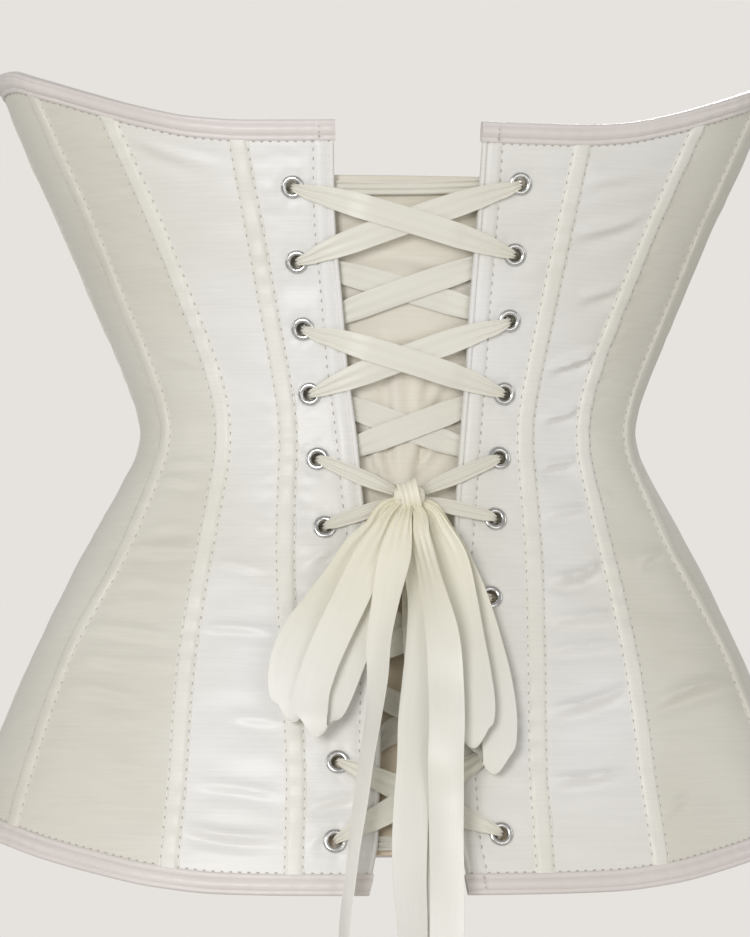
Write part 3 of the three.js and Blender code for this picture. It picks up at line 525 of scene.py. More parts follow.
BODY_SATIN = satin("ivory satin", (0.85, 0.845, 0.825), (0.785, 0.775, 0.725), 0.37, 0.2)
# The sides' copy of the ivory satin is darker and yellower: painted shade where the sides turn
# away from the lamps
SIDE_SATIN_PAINTED_SHADE = satin("ivory satin, sides, painted shade", (0.76, 0.745, 0.675), (0.715, 0.695, 0.61), 0.39, 0.2)
CASING_SATIN = satin("ivory satin, casings", (0.85, 0.84, 0.785), (0.80, 0.785, 0.715), 0.42, 0.2)
BINDING_SATIN = satin("pinkish ivory satin", (0.79, 0.745, 0.72), (0.73, 0.68, 0.65), 0.36, 0.2)
# The modesty panel's satin, with a tan glow painted in below the knot
MODESTY_SATIN = satin(
    "warm ivory satin", (0.84, 0.80, 0.70), (0.79, 0.745, 0.63), 0.45, 0.2, painted_glow=MODESTY_PAINTED_GLOW)
# The bow's satin, with a yellowish glow painted in towards the knot
RIBBON_SATIN = satin(
    "bow satin", (0.865, 0.86, 0.81), (0.805, 0.795, 0.725), 0.38, 0.3, 0.00001, 0.97, BOW_PAINTED_GLOW)
LACE_SATIN = satin(
    "lace satin", (0.81, 0.795, 0.71), (0.755, 0.735, 0.64), 0.40, 0.3, 0.00001, 0.97)


def thread_and_hole_shade_material():
    nodes = Nodes(bpy.data.materials.new("sewing thread, painted hole shade"))
    twist = nodes.noise(nodes.object_place(), 2400.0, 1.0)
    # The thread's own greyish tan, darkened further as painted shade of the stitch holes, so each
    # short stitch shows as a dark dot
    nodes.shade(
        Base_Color=nodes.ramp(twist, 0.3, (0.42, 0.39, 0.34), 0.7, (0.60, 0.56, 0.50)),
        Normal=nodes.bump(twist, 0.00008), Roughness=0.5, Sheen_Weight=0.2)
    return nodes.owner


def metal_material():
    nodes = Nodes(bpy.data.materials.new("nickel eyelet"))
    wear = nodes.noise(nodes.object_place(), 900.0, 3.0, 0.6)
    nodes.shade(
        Base_Color=nodes.ramp(wear, 0.3, (0.56, 0.56, 0.55), 0.65, (0.72, 0.72, 0.71)),
        Roughness=nodes.maths("ADD", nodes.maths("MULTIPLY", wear, 0.16), 0.16),
        Normal=nodes.bump(wear, 0.00001), Metallic=1.0)
    return nodes.owner


THREAD_AND_HOLE_SHADE = thread_and_hole_shade_material()
NICKEL = metal_material()


# Ribbon: a thin strip with a shaped cross-section, swept along its centres
RIBBON_ACROSS = np.linspace(-1, 1, 17)
RIBBON_CLOTH = 0.42


def distances(points):
    return np.concatenate([[0], np.cumsum(np.linalg.norm(np.diff(points, axis=0), axis=1))])


def ribbon_rings(centres, across, width, thick, heights, folded=0.0):
    """Rings of a strip whose middle line across stands off its centres by the heights.

    Where it is folded back on itself, up to 1, the fold keeps its own slant.
    """
    along = unit(np.gradient(centres, axis=0))
    slant = (1 - folded) * np.sum(across * along, -1)
    wide = unit(across - slant[:, None] * along)
    up = unit(np.cross(wide, along))
    a = RIBBON_ACROSS[None, :, None]
    middle = centres[:, None] + wide[:, None] * a * width[:, None, None] / 2
    thin = 1 - 0.45 * np.abs(RIBBON_ACROSS) ** 6
    half = up[:, None] * (thick[:, None] * thin[None])[..., None] / 2
    lifted = middle + up[:, None] * heights[..., None]
    return np.concatenate([lifted + half, (lifted - half)[:, ::-1]], axis=1)


def ribbon_cloth(marks, width):
    """Along and across for each ring of a ribbon, whose gloss runs along it."""
    across = RIBBON_ACROSS[None] * width[:, None] / 2
    both = np.concatenate([across, across[:, ::-1]], axis=1)
    return cloth_map(marks[:, None], both)


# The bow's loops and tails: routes on the back, with the ribbon's lean in the plane of the
# back and, for the tails, its turn about its own length, in degrees
ROUTE = ["x", "z", "lift", "lean", "turn"]

LOOPS = {
    "loop_left_outer": table(ROUTE[:-1], [
        [10.1, -35.9, 7.2, 38], [15.3, -45.2, 7, 38], [22.5, -54, 6.8, 38],
        [29.4, -64.4, 7.4, 36], [38.5, -76, 9.2, 36], [47.9, -88, 11.2, 30],
        [53.1, -99.5, 11.6, 18], [54.1, -110.9, 11, 8], [52.6, -119.8, 9.8, 2],
        [51.4, -124.7, 8.2, 4], [49.9, -120.7, 6.6, 8], [44.4, -111.8, 6, 14],
        [36.8, -99.5, 6, 22], [30.3, -88, 5.5, 24], [23.7, -74.7, 5.2, 20], [17.1, -58.9, 5, 20],
        [10.8, -42.1, 5, 24],
    ]),
    "loop_left_inner": table(ROUTE[:-1], [
        [8.1, -38.2, 11.8, 24], [13.5, -47.9, 13.2, 24], [20.6, -60.8, 14.8, 24],
        [28.1, -75.7, 15.8, 24], [35.4, -90.1, 16, 22], [41, -102.7, 16, 16],
        [44.5, -114.9, 15.6, 8], [43.9, -125.4, 15.2, 4], [42.6, -130.7, 13.4, 4],
        [40.8, -125.9, 11.6, 8], [35.5, -115.8, 10.4, 12], [29.8, -102.8, 9.2, 18],
        [24.5, -89.2, 9, 18], [18.7, -74.8, 8.8, 14], [13.3, -58.2, 9, 12], [9.2, -41.9, 9, 14],
    ]),
    "loop_right_inner": table(ROUTE[:-1], [
        [-7, -38.1, 11.4, -24], [-10.3, -46.1, 13.2, -22], [-15.2, -59.1, 14.5, -16],
        [-18, -74, 14.6, -12], [-20.3, -89.7, 14.8, -10], [-22.6, -105.2, 15, -8],
        [-23.6, -119, 15.6, -6], [-22.4, -129.1, 15.2, -4], [-21.2, -135.2, 13.6, -2],
        [-20.3, -130.4, 12, 2], [-17.6, -119.1, 11, 4], [-15.7, -104.4, 10.4, 6],
        [-13.8, -89.6, 9.8, 8], [-11.9, -74.8, 9.4, 8], [-9.2, -58.1, 9, 10],
        [-5.9, -41.8, 9, 12],
    ]),
    "loop_right_outer": table(ROUTE[:-1], [
        [-7.1, -35.9, 7.2, -34], [-11.9, -45.9, 7, -34], [-18.2, -60.5, 6.8, -30],
        [-24, -75.5, 6.8, -24], [-28.7, -92.1, 7.2, -16], [-32.2, -108.5, 7.8, -10],
        [-33.5, -124.9, 8.4, -4], [-32.1, -137.8, 8.8, 0], [-30.4, -145.9, 7.2, 0],
        [-29.7, -137.9, 5.2, -2], [-26.3, -129.8, 4.8, -6], [-22.6, -117.5, 4.8, -10],
        [-19.9, -101.1, 4.8, -8], [-17.2, -83, 5, -12], [-12.9, -63, 5, -18], [-8, -42.9, 5, -24],
    ]),
}

TAILS = {
    "tail_left": table(ROUTE, [
        [4.4, -39.2, 15.8, 4, 0], [7, -48, 17.8, 6, -8], [10.1, -61, 20.4, 10, -26],
        [13.6, -76.2, 21.8, 10, -44], [16.5, -90.9, 22, 8, -54], [17.7, -108, 21, 8, -62],
        [20, -124.1, 19, 8, -68], [23.1, -139.8, 17.4, 8, -72], [25.8, -155.8, 16.2, 8, -74],
        [28.5, -172.1, 15.6, 8, -75], [30.6, -188, 14.8, 6, -77], [32.3, -201.9, 14, 4, -79],
        [33.1, -215.4, 13.4, 4, -80], [33.1, -229.8, 13, 2, -80], [33.8, -241.7, 12.8, 2, -79],
    ]),
    "tail_middle": table(ROUTE, [
        [1, -39.8, 10.8, -4, 0], [-0.1, -48.2, 10.9, -6, 0], [-2.1, -60.7, 11.3, -4, 0],
        [-3.7, -76, 11.8, 0, 0], [-2.7, -90.9, 11.9, 2, 0], [-0.5, -108.1, 11.8, 2, 0],
        [1.6, -123.9, 11.6, 0, 0], [2.5, -140, 11.2, -2, 0], [4.1, -156.1, 10.6, -4, 0],
        [5.3, -172, 10.2, -4, 6], [5.6, -188, 10.4, -2, 16], [5, -201.9, 11, 0, 24],
        [4.8, -215.7, 11.5, 0, 30], [4.4, -229.7, 11.8, 2, 32], [4, -243.6, 11.8, 2, 32],
        [3.6, -254, 11.8, 2, 30],
    ]),
    "tail_back": table(ROUTE, [
        [2, -40, 6.2, -6, 0], [0, -48, 6.8, -8, 0], [-2, -61, 6.8, -8, 0], [-2, -76, 6.2, -6, 0],
        [-2, -91, 6, -4, 0], [-3, -108, 6, -2, 0], [-5, -124, 6.0, 0, 0], [-5, -140, 6.0, 0, 0],
        [-4, -156, 6.0, 0, 0], [-3, -172, 6.0, -2, 0], [-3, -188, 5.8, -2, 0],
        [-3, -203, 5.4, 0, 0], [-4, -216, 5.0, 2, 0], [-5, -228, 4.8, 2, 0],
        [-5, -239, 4.6, 2, 0],
    ]),
    "tail_right": table(ROUTE, [
        [-1.6, -39.1, 14.4, -8, -40], [-1.7, -47.2, 18.8, -10, -58],
        [-3.9, -59.3, 21.6, -12, -62], [-6.9, -75, 22.8, -12, -50], [-9.3, -89.7, 22.6, -6, -32],
        [-10.1, -107.6, 21.2, 0, -18], [-9.9, -123.7, 21.3, 2, -12], [-9.1, -139.8, 19.7, 2, -14],
        [-9.2, -155.9, 15.4, 2, -22], [-8.9, -171.9, 14.2, 0, -24], [-9.1, -187.9, 13.2, 0, -26],
        [-9, -201.9, 12.4, 0, -28], [-8.9, -215.8, 12, 2, -28], [-9.3, -229.8, 11.8, 2, -26],
        [-9.8, -241.8, 11.6, 2, -26], [-9.7, -251.8, 11.6, 2, -26],
    ]),
}

RIBBON_WIDE = 14.5
RIBBON_STEP = 1.4
INTO_KNOT = 0.45
BOW_PLEATS = 3.5
CURL = {"wave": 34, "from": 8, "to": 40, "middle": 0.35}
RUFFLE = {"height": 0.22, "wave": 9}
FOLD_REACH = 8.0
FOLD_PINCH = 0.35
FOLD_ROUND = 4.6
GATHER = table(["along", "width", "pleat"], [
    [0, 5.0, 0.7],
    [5, 6.5, 0.9],
    [14, 10.5, 0.6],
    [28, 14.0, 0.2],
    [44, RIBBON_WIDE, 0.0],
])


def back_surface(x, z):
    width = smooth_at(SECTIONS, "half_width", z)
    depth = smooth_at(SECTIONS, "back", z)
    return depth * (1 - np.abs(x / width) ** BACK_ROUNDNESS) ** (1 / BACK_ROUNDNESS)


def behind_back(x, z, lift):
    return np.stack([x, back_surface(x, z) + lift, z], -1)


def knot_middle(lift):
    return behind_back(np.float64(KNOT["x"]), np.float64(KNOT["z"]), lift)


def back_slope(x, z, lean):
    """How far the back rises for each millimetre across it, at a lean."""
    sideways, upward = np.cos(lean), np.sin(lean)
    ahead, behind = back_surface(x + sideways, z + upward), back_surface(x - sideways, z - upward)
    return (ahead - behind) / 2


def with_knot_ends(rows, inside, looped):
    """Adds a row inside the knot before the first row, and after a loop's last one."""
    return np.concatenate([inside[:1], rows, inside[1:] if looped else rows[:0]])


def free_ribbon(name, route, looped, curl, phase):
    """A loop or tail of the bow, gathered at the knot and softly curled along its length."""
    centres = behind_back(route["x"], route["z"], route["lift"])
    lean, turn = (np.radians(route.get(name, 0 * route["x"])) for name in ("lean", "turn"))
    flat = np.cos(turn)
    rise = np.sin(turn) + back_slope(route["x"], route["z"], lean) * flat
    across = np.stack([np.cos(lean) * flat, rise, np.sin(lean) * flat], -1)
    inside = centres[[0, -1]] + INTO_KNOT * (knot_middle(KNOT["out"]) - centres[[0, -1]])
    lowest = distances(centres)[np.argmin(centres[:, 2])]
    lowest = lowest + np.linalg.norm(centres[0] - inside[0])
    centres = with_knot_ends(centres, inside, looped)
    across = with_knot_ends(across, across[[0, -1]], looped)
    marks = distances(centres)
    at = np.linspace(0, marks[-1], int(marks[-1] / RIBBON_STEP) + 1)
    path, lie = (
        smooth_curve(marks, rows, np.gradient(rows, marks, axis=0), at)
        for rows in (centres, across))
    from_knot = np.minimum(at, at[-1] - at) if looped else at
    width = smooth_at(GATHER, "width", from_knot)
    pleat = smooth_at(GATHER, "pleat", from_knot)
    fold = np.exp(-((at - lowest) / FOLD_REACH) ** 2) if looped else np.zeros_like(at)
    width = width * (1 - FOLD_PINCH * fold)
    a = RIBBON_ACROSS[None]
    bend = curl * np.sin(at / CURL["wave"] + phase) * (1 - fold)
    bend = bend * smooth_step(CURL["from"], CURL["to"], from_knot)
    heights = pleat[:, None] * np.cos(BOW_PLEATS * np.pi * a)
    heights = heights + bend[:, None] * (a ** 2 - CURL["middle"])
    ruffle = RUFFLE["height"] * np.sin(at / RUFFLE["wave"] + phase) * (1 - fold)
    heights = heights + ruffle[:, None] * a ** 3
    rings = ribbon_rings(path, lie, width, np.full_like(at, RIBBON_CLOTH), heights, fold)
    from_middle = np.concatenate([a, a[:, ::-1]], axis=1) ** 2
    rings[..., 2] += FOLD_ROUND * fold[:, None] * from_middle
    cloth = ribbon_cloth(at, width)
    return make_piece(name, loft(rings), RIBBON_SATIN, cloth, "ribbon"), path


# Each free stretch: its real length in metres, how far its face curls and where the curl starts
FREE_RIBBONS = [
    ("loop_left_outer", 0.212, 0.9, 0.4),
    ("loop_left_inner", 0.214, 1.0, 1.6),
    ("loop_right_inner", 0.214, 0.8, 2.2),
    ("loop_right_outer", 0.240, 1.0, 0.9),
    ("tail_left", 0.215, 0.7, 0.2),
    ("tail_middle", 0.224, 0.8, 1.2),
    ("tail_back", 0.208, 0.5, 2.6),
    ("tail_right", 0.224, 0.7, 0.5),
]

KNOT = {
    "x": 1.4, "z": -31.5, "out": 9.8, "half_wide": 6.6, "half_tall": 5.3, "half_deep": 6.0,
    "core": 0.9, "square": 2.6, "around": 56, "rings": 40, "tilt": 0.24, "steps": 90,
}


def make_knot():
    """The knot: a squarish gathered lump with one turn of ribbon drawn down over it."""
    middle = knot_middle(KNOT["out"])
    turns = np.linspace(0, 2 * np.pi, KNOT["around"], endpoint=False)
    rings = []
    for share in np.linspace(-1, 1, KNOT["rings"]):
        reach = (1 - abs(share) ** KNOT["square"]) ** (1 / KNOT["square"]) * 0.94 + 0.01
        folds = 1 + 0.07 * np.cos(7 * turns + 2.2 * share) * (1 - 0.5 * share ** 2)
        rings.append(np.stack([
            KNOT["half_wide"] * share + 0 * turns,
            KNOT["half_deep"] * KNOT["core"] * reach * folds * np.cos(turns),
            KNOT["half_tall"] * KNOT["core"] * reach * folds * np.sin(turns),
        ], -1))
    core = loft(np.array(rings) + middle)
    around = np.linspace(-np.pi, np.pi, KNOT["steps"])
    tilt = KNOT["tilt"]
    centres = np.stack([
        tilt * KNOT["half_tall"] * np.sin(around) + 0.4,
        (KNOT["half_deep"] + 0.2) * np.cos(around),
        (KNOT["half_tall"] + 0.3) * np.sin(around),
    ], -1) + middle
    across = np.tile([1.0, 0.0, -tilt], (KNOT["steps"], 1))
    a = RIBBON_ACROSS[None] + 0 * around[:, None]
    heights = 0.3 * np.cos(BOW_PLEATS * np.pi * a + 0.4) - 0.9 * a ** 2
    width = 7.6 + 1.2 * np.sin(around) ** 2
    wrap = loft(ribbon_rings(centres, across, width, np.full(KNOT["steps"], 0.5), heights))
    skin = joined([core, wrap])
    cloth = cloth_map(skin[0][:, 2], skin[0][:, 0])
    return make_piece("bow_knot", skin, RIBBON_SATIN, cloth, "ribbon")


knot = make_knot()
for ribbon_name, real_length, ribbon_curl, ribbon_phase in FREE_RIBBONS:
    is_loop = ribbon_name in LOOPS
    ribbon_route = LOOPS[ribbon_name] if is_loop else TAILS[ribbon_name]
    ribbon, ribbon_path = free_ribbon(
        ribbon_name, ribbon_route, is_loop, ribbon_curl, ribbon_phase)

# Lacing: one half of the ribbon at a time, from the knot through its eyelets and back to it
LACE_LIE = table(["along", "width", "thick", "pleat"], [
    [1.3, 3.4, 1.0, 0.50],
    [5.4, 5.4, 0.6, 0.45],
    [11, 7.4, RIBBON_CLOTH, 0.35],
    [18, 9.2, RIBBON_CLOTH, 0.20],
    [27, 10.4, RIBBON_CLOTH, 0.08],
])
KNOT_LIE = table(["share", "width", "thick", "pleat"], [
    [0.03, 3.4, 1.0, 0.5],
    [0.14, 5.2, 0.6, 0.45],
    [0.32, 6.0, RIBBON_CLOTH, 0.4],
    [0.52, 6.6, RIBBON_CLOTH, 0.35],
    [0.72, 6.0, RIBBON_CLOTH, 0.4],
    [0.88, 4.8, 0.6, 0.45],
    [1.00, 3.8, 0.6, 0.5],
])
LIE = ["width", "thick", "pleat"]
IN_EYELET = {"width": 3.2, "thick": 1.0, "pleat": 0.5}
LACE_PLEATS = 2.5
LACE_OUTSIDE = 1.95
LACE_INSIDE = -CLOTH - 1.9
LACE_PASS = 1.3
LACE_START = 1.3
LACE_STEP = 1.5
BAR = {"widest": 5.8, "sag": 1.6, "pleat": 0.35}
KNOT_REACH = 6
KNOT_LIFT = 3.2


def lace_end(side, row):
    z = EYELETS[side_name(side)][row]
    fraction = edge_line(side, EYELET_INSET)(z)
    point, out = on_body(fraction, z, 0.0), outward_at(fraction, z)
    return {"point": point, "out": out, "z": z, "fraction": fraction}


def lace_stretch(start, stop, face, over, widest=RIBBON_WIDE, sag=0.0):
    gap = stop["point"] - start["point"]
    length = np.linalg.norm(gap)
    step = gap / length
    outward = LACE_OUTSIDE if face > 0 else LACE_INSIDE
    along = np.linspace(LACE_START, length - LACE_START, int(length / LACE_STEP))
    part = along / length
    near = np.minimum(along, length - along)
    hump = over * LACE_PASS * (1 - smooth_step(17, 27, np.abs(along - length / 2)))
    z = start["z"] + (stop["z"] - start["z"]) * part - sag * 4 * part * (1 - part)
    fraction = start["fraction"] + (stop["fraction"] - start["fraction"]) * part
    lie = on_body(fraction, z, outward + face * hump)
    first = (part < 0.5)[:, None]
    seat = np.where(first, start["point"], stop["point"])
    out = np.where(first, start["out"], stop["out"])
    flat = unit(step - np.sum(step * out, -1, keepdims=True) * out)
    rim = seat + out * outward + flat * np.where(first[:, 0], along, along - length)[:, None]
    off_rim = smooth_step(6, 12, near)[:, None]
    return {
        "point": rim * (1 - off_rim) + lie * off_rim,
        "across": np.tile(unit(np.cross(step, start["out"] + stop["out"])), (len(along), 1)),
        "width": np.minimum(smooth_at(LACE_LIE, "width", near), widest),
        "thick": smooth_at(LACE_LIE, "thick", near),
        "pleat": np.maximum(
            smooth_at(LACE_LIE, "pleat", near), BAR["pleat"] if sag else 0.0),
    }


def knot_stretch(side, row):
    seat = lace_end(side, row)
    middle = knot_middle(KNOT_LIFT)
    heading = unit((middle - seat["point"]) * np.array([1, 0, 1]))
    foot = middle - KNOT_REACH * heading
    end = behind_back(foot[0], foot[2], KNOT_LIFT)
    start = seat["point"] + seat["out"] * LACE_OUTSIDE
    share = np.linspace(KNOT_LIE["share"][0], 1, 26)
    point = start + (end - start) * share[:, None]
    clear = back_surface(point[:, 0], point[:, 2]) + LACE_OUTSIDE + 0.2
    point[:, 1] = np.maximum(point[:, 1], clear)
    across = unit(np.cross(end - start, seat["out"]))
    return {
        "point": point,
        "across": np.tile(across, (len(share), 1)),
        **{name: smooth_at(KNOT_LIE, name, share) for name in LIE},
    }


def through_eyelet(end, before, after):
    """The ribbon gathered in an eyelet, between the stretches on both sides of the cloth."""
    share = np.array([0.2, 0.4, 0.6, 0.8])[:, None]
    first, last = before["point"][-1], after["point"][0]
    inside = end["point"] - end["out"] * CLOTH / 2
    bend = 2 * inside - (first + last) / 2
    point = first * (1 - share) ** 2 + 2 * bend * share * (1 - share) + last * share ** 2
    return {
        "point": point,
        "across": unit(before["across"][-1] * (1 - share) + after["across"][0] * share),
        **{name: np.full(4, value) for name, value in IN_EYELET.items()},
    }


def make_lace(name, rows):
    def strand(start_side):
        ends = [lace_end(start_side if i % 2 == 0 else -start_side, row)
                for i, row in enumerate(rows)]
        stretches = [knot_stretch(start_side, rows[0])]
        for i in range(1, len(rows)):
            face = -1 if i % 2 else 1
            over = 1 if (start_side > 0) == (face > 0) else 0
            stretches.append(lace_stretch(ends[i - 1], ends[i], face, over))
        return stretches, ends

    def turned(stretch):
        return {key: value[::-1] for key, value in stretch.items()}

    one, one_ends = strand(1)
    two, two_ends = strand(-1)
    bar = lace_stretch(one_ends[-1], two_ends[-1], -1, 0, BAR["widest"], BAR["sag"])
    run = [turned(one[0]), *one[1:], bar, *[turned(s) for s in two[:0:-1]], two[0]]
    ends = one_ends + two_ends[::-1]
    whole = [run[0]]
    for stretch, end in zip(run[1:], ends):
        before = whole[-1]
        if np.dot(before["across"][-1], stretch["across"][0]) < 0:
            stretch = {**stretch, "across": -stretch["across"]}
        whole += [through_eyelet(end, before, stretch), stretch]
    full = {key: np.concatenate([part[key] for part in whole]) for key in run[0]}
    a = RIBBON_ACROSS[None]
    marks = distances(full["point"])
    heights = full["pleat"][:, None] * np.cos(LACE_PLEATS * np.pi * a + 0.6)
    heights = heights + (0.35 * np.sin(marks / 11))[:, None] * (a ** 2 - 0.4)
    rings = ribbon_rings(full["point"], full["across"], full["width"], full["thick"], heights)
    cloth = ribbon_cloth(marks, full["width"])
    make_piece(name, loft(rings), LACE_SATIN, cloth, "ribbon")


make_lace("lace_upper", [4, 3, 2, 1, 0])
make_lace("lace_lower", [5, 6, 7, 8, 9])

# Eyelets
EYELET_AROUND = 32
EYELET_PROFILE = table(["radius", "out"], [
    [2.65, 0.20], [2.65, -1.30], [2.80, -2.30], [3.50, -2.70], [4.30, -2.50], [4.60, -2.10],
    [3.15, -1.95], [3.05, 0.10], [4.50, 0.05], [4.90, 0.20], [4.90, 0.50], [4.40, 0.92],
    [3.75, 1.08], [3.10, 0.95], [2.75, 0.62],
])


def hole_places(side):
    """How far round the back and how high each hole of a side is."""
    heights = EYELETS[side_name(side)]
    return list(zip(side * (edge_width(side, heights) + EYELET_INSET), heights))


def make_eyelet(side, row):
    seat = lace_end(side, row)
    out = seat["out"]
    wide = unit(np.cross(np.array([0.0, 0.0, 1.0]), out))
    tall = np.cross(out, wide)
    turns = np.linspace(0, 2 * np.pi, EYELET_AROUND, endpoint=False)[:, None, None]
    radius = EYELET_PROFILE["radius"][None, :, None]
    rings = (seat["point"] + (np.cos(turns) * wide + np.sin(turns) * tall) * radius
             + EYELET_PROFILE["out"][None, :, None] * out)
    name = f"eyelet_{side_name(side)}_{row + 1}"
    make_piece(name, loft(rings, closed=True), NICKEL, kind="nickel")


for eyelet_row in range(EYELET_ROWS):
    make_eyelet(1, eyelet_row)
    make_eyelet(-1, eyelet_row)

# Creases: from and to, as distances round the body from the centre back (the wearer's left is
# positive) and heights, then how high and wide the fold is and how far its middle bows up
CREASE = ["s0", "z0", "s1", "z1", "height", "wide", "bow"]

BACK_CREASES = table(CREASE, [
    [152, -47, 86, -53, 0.9, 2.8, -2], [115, -44, 88, -44, 0.6, 2.2, 1],
    [151, -86, 97, -91, 0.9, 3.0, 2], [147, -98, 100, -101, 0.7, 2.4, -1],
    [152, -110, 112, -117, 0.8, 3.0, 1], [132, -142, 112, -144, 0.5, 3.5, 0],
    [121, -15, 86, -16, 0.6, 2.0, 0], [121, -22, 88, -26, 0.7, 2.2, 1],
    [127, -66, 99, -69, 0.5, 2.6, 1], [89, -86, 57, -88, 0.7, 2.2, 1],
    [99, -166, 58, -171, 1.0, 2.6, -2], [90, -150, 54, -155, 0.6, 2.4, 1],
    [76, -122, 54, -125, 0.5, 2.4, 0], [82, -58, 62, -62, 0.4, 2.2, 0],
    [123, 122, 84, 108, 0.8, 3.2, -2], [112, 30, 92, 26, 0.4, 3.0, 0],
    [46, -160, 24, -155, 0.7, 2.2, 1], [46, -176, 35, -166, 0.6, 2.2, 0],
    [44, -60, 33, -53, 0.5, 2.2, 0], [60, 117, 46, 113, 0.4, 2.4, 0],
    [-74, 117, -80, 103, 0.7, 2.4, 0], [-70, 100, -106, 107, 0.5, 3.0, 1],
    [-69, 80, -107, 91, 1.2, 3.2, -1], [-74, 54, -102, 61, 1.0, 2.8, 0],
    [-61, 24, -92, 35, 1.8, 2.4, -1], [-58, 3, -82, 10, 1.3, 2.4, -1],
    [-56, -18, -82, -13, 1.3, 2.2, 0], [-58, -66, -88, -56, 2.1, 2.6, -2.5],
    [-59, -38, -79, -35, 1.1, 2.2, 0], [-56, -84, -92, -81, 1.1, 2.6, 1],
    [-56, -96, -90, -93, 0.9, 2.4, 1], [-53, -121, -95, -109, 2.0, 2.8, -2],
    [-54, -149, -89, -145, 1.5, 2.6, -1], [-84, -25, -93, -33, 0.5, 2.0, 0],
    [-104, -118, -158, -109, 1.8, 3.0, 3], [-106, -164, -118, -155, 1.0, 2.6, 0],
    [-104, -57, -121, -52, 1.1, 2.4, 0], [-112, -20, -140, -14, 0.9, 2.6, 1],
    [-205, -83, -178, -82, 0.4, 3.0, 1], [-190, -24, -158, -30, 0.5, 2.8, 1],
    [-196, -128, -166, -136, 0.4, 3.4, 1], [200, -26, 166, -20, 0.5, 2.8, 1],
    [210, -74, 176, -84, 0.5, 3.2, -1], [196, -124, 168, -120, 0.4, 3.2, 0],
    [172, 44, 148, 36, 0.3, 3.0, 0], [-176, 40, -150, 50, 0.35, 3.0, 0],
    [-196, 96, -168, 106, 0.4, 3.4, 1], [200, 104, 176, 92, 0.4, 3.4, 1],
])

# The same for the hidden front, measured from the centre front
FRONT_CREASES = table(CREASE, [
    [52, 4, 14, -3, 0.8, 3.0, 1], [50, -24, 10, -20, 0.9, 2.8, -1],
    [-50, -6, -8, -12, 0.8, 3.0, 1], [-53, -34, -16, -28, 0.8, 2.8, 1],
    [46, -88, 4, -98, 0.7, 3.4, 1], [-54, -102, -10, -92, 0.9, 3.2, -1],
    [60, -150, 24, -142, 0.6, 3.2, 0], [-50, -150, -22, -156, 0.6, 3.2, 1],
    [30, 40, 6, 62, 0.8, 3.2, 2], [-34, 44, -8, 58, 0.7, 3.0, -1],
    [118, -8, 72, -14, 0.9, 2.8, 1], [-114, 2, -70, -6, 0.9, 2.8, -1],
    [124, -62, 84, -52, 0.7, 3.0, 1], [-120, -44, -78, -54, 0.8, 3.0, 1],
    [126, -116, 86, -124, 0.6, 3.4, 0], [-128, -120, -92, -110, 0.6, 3.4, 1],
    [112, 38, 82, 44, 0.7, 2.8, 1], [-108, 42, -80, 34, 0.7, 2.8, -1],
])

# Broad soft unevenness of the worn cloth: wavelengths along the three axes, phase and height
WAVES = table(["x", "y", "z", "phase", "height"], [
    [150, 110, 34, 0.3, 0.22],
    [-90, 160, 23, 1.9, 0.16],
    [70, -95, 17, 4.1, 0.11],
    [210, 60, -47, 2.6, 0.25],
    [-120, -75, 13, 5.2, 0.07],
])


def crease_heights(rows, across, z):
    total = np.zeros(np.broadcast_shapes(np.shape(across), np.shape(z)))
    for s0, z0, s1, z1, height, wide, bow in zip(*(rows[name] for name in CREASE)):
        run, rise = s1 - s0, z1 - z0
        length = math.hypot(run, rise)
        t = ((across - s0) * run + (z - z0) * rise) / length ** 2
        off = ((z - z0) * run - (across - s0) * rise) / length * np.sign(run)
        off = off - bow * 4 * t * (1 - t)
        taper = smooth_step(-0.08, 0.3, t) * (1 - smooth_step(0.6, 1.08, t))
        ridge = np.exp(-(off / (0.8 * wide)) ** 2)
        trough = 0.65 * np.exp(-((off + 1.5 * wide) / wide) ** 2)
        total = total + height * taper * (ridge - trough)
    return total


def drape_heights(points):
    total = 0
    for x, y, z, phase, height in zip(*WAVES.values()):
        turn = points[..., 0] / x + points[..., 1] / y + points[..., 2] / z
        total = total + height * np.sin(2 * np.pi * turn + phase)
    return total


PUCKER = {"height": 0.22, "wave": 8.0, "from_seam": 8.0, "reach": 2.6}


def pucker_heights(near, z, phase):
    """Short cross wrinkles beside a sewn line, where the seam has drawn the cloth in."""
    wave = 2 * np.pi * z / PUCKER["wave"] + 1.7 * np.sin(z / 19 + phase)
    patchy = 0.55 + 0.45 * np.sin(z / 31 + 2.3 * phase)
    fall = np.exp(-((near - PUCKER["from_seam"]) / PUCKER["reach"]) ** 2)
    return PUCKER["height"] * patchy * fall * np.sin(wave)


CREASE_DEPTH = {"back": 1.9, "front": 0.9}
FLAT_AT_SEAM = (3.6, 9)
FREE_OF_BINDING = 8
SIDE_CALM = {"fraction": 0.47, "wide": 0.17, "share": 0.75}


def cloth_heights(fraction, z, near, phase):
    fraction = wrapped(fraction)
    girth = half_girth(z)
    from_back = fraction * girth
    from_front = np.sign(fraction) * (1 - np.abs(fraction)) * girth
    total = CREASE_DEPTH["back"] * crease_heights(BACK_CREASES, from_back, z)
    total = total + CREASE_DEPTH["front"] * crease_heights(FRONT_CREASES, from_front, z)
    total = total + drape_heights(body_point(fraction, z))
    at_side = np.exp(-((np.abs(fraction) - SIDE_CALM["fraction"]) / SIDE_CALM["wide"]) ** 4)
    total = total * (1 - SIDE_CALM["share"] * at_side)
    total = total * smooth_step(*FLAT_AT_SEAM, near) + pucker_heights(near, z, phase)
    free = smooth_step(0, FREE_OF_BINDING, inside_edges(fraction, z) - BINDING_ROOM)
    return total * free


# Panels
PANEL_STEP = {"across": 2.2, "up": 1.4}
PANEL_TALL = 330
PANEL_FULLNESS = 1.25
INNER_SHARE = 0.6


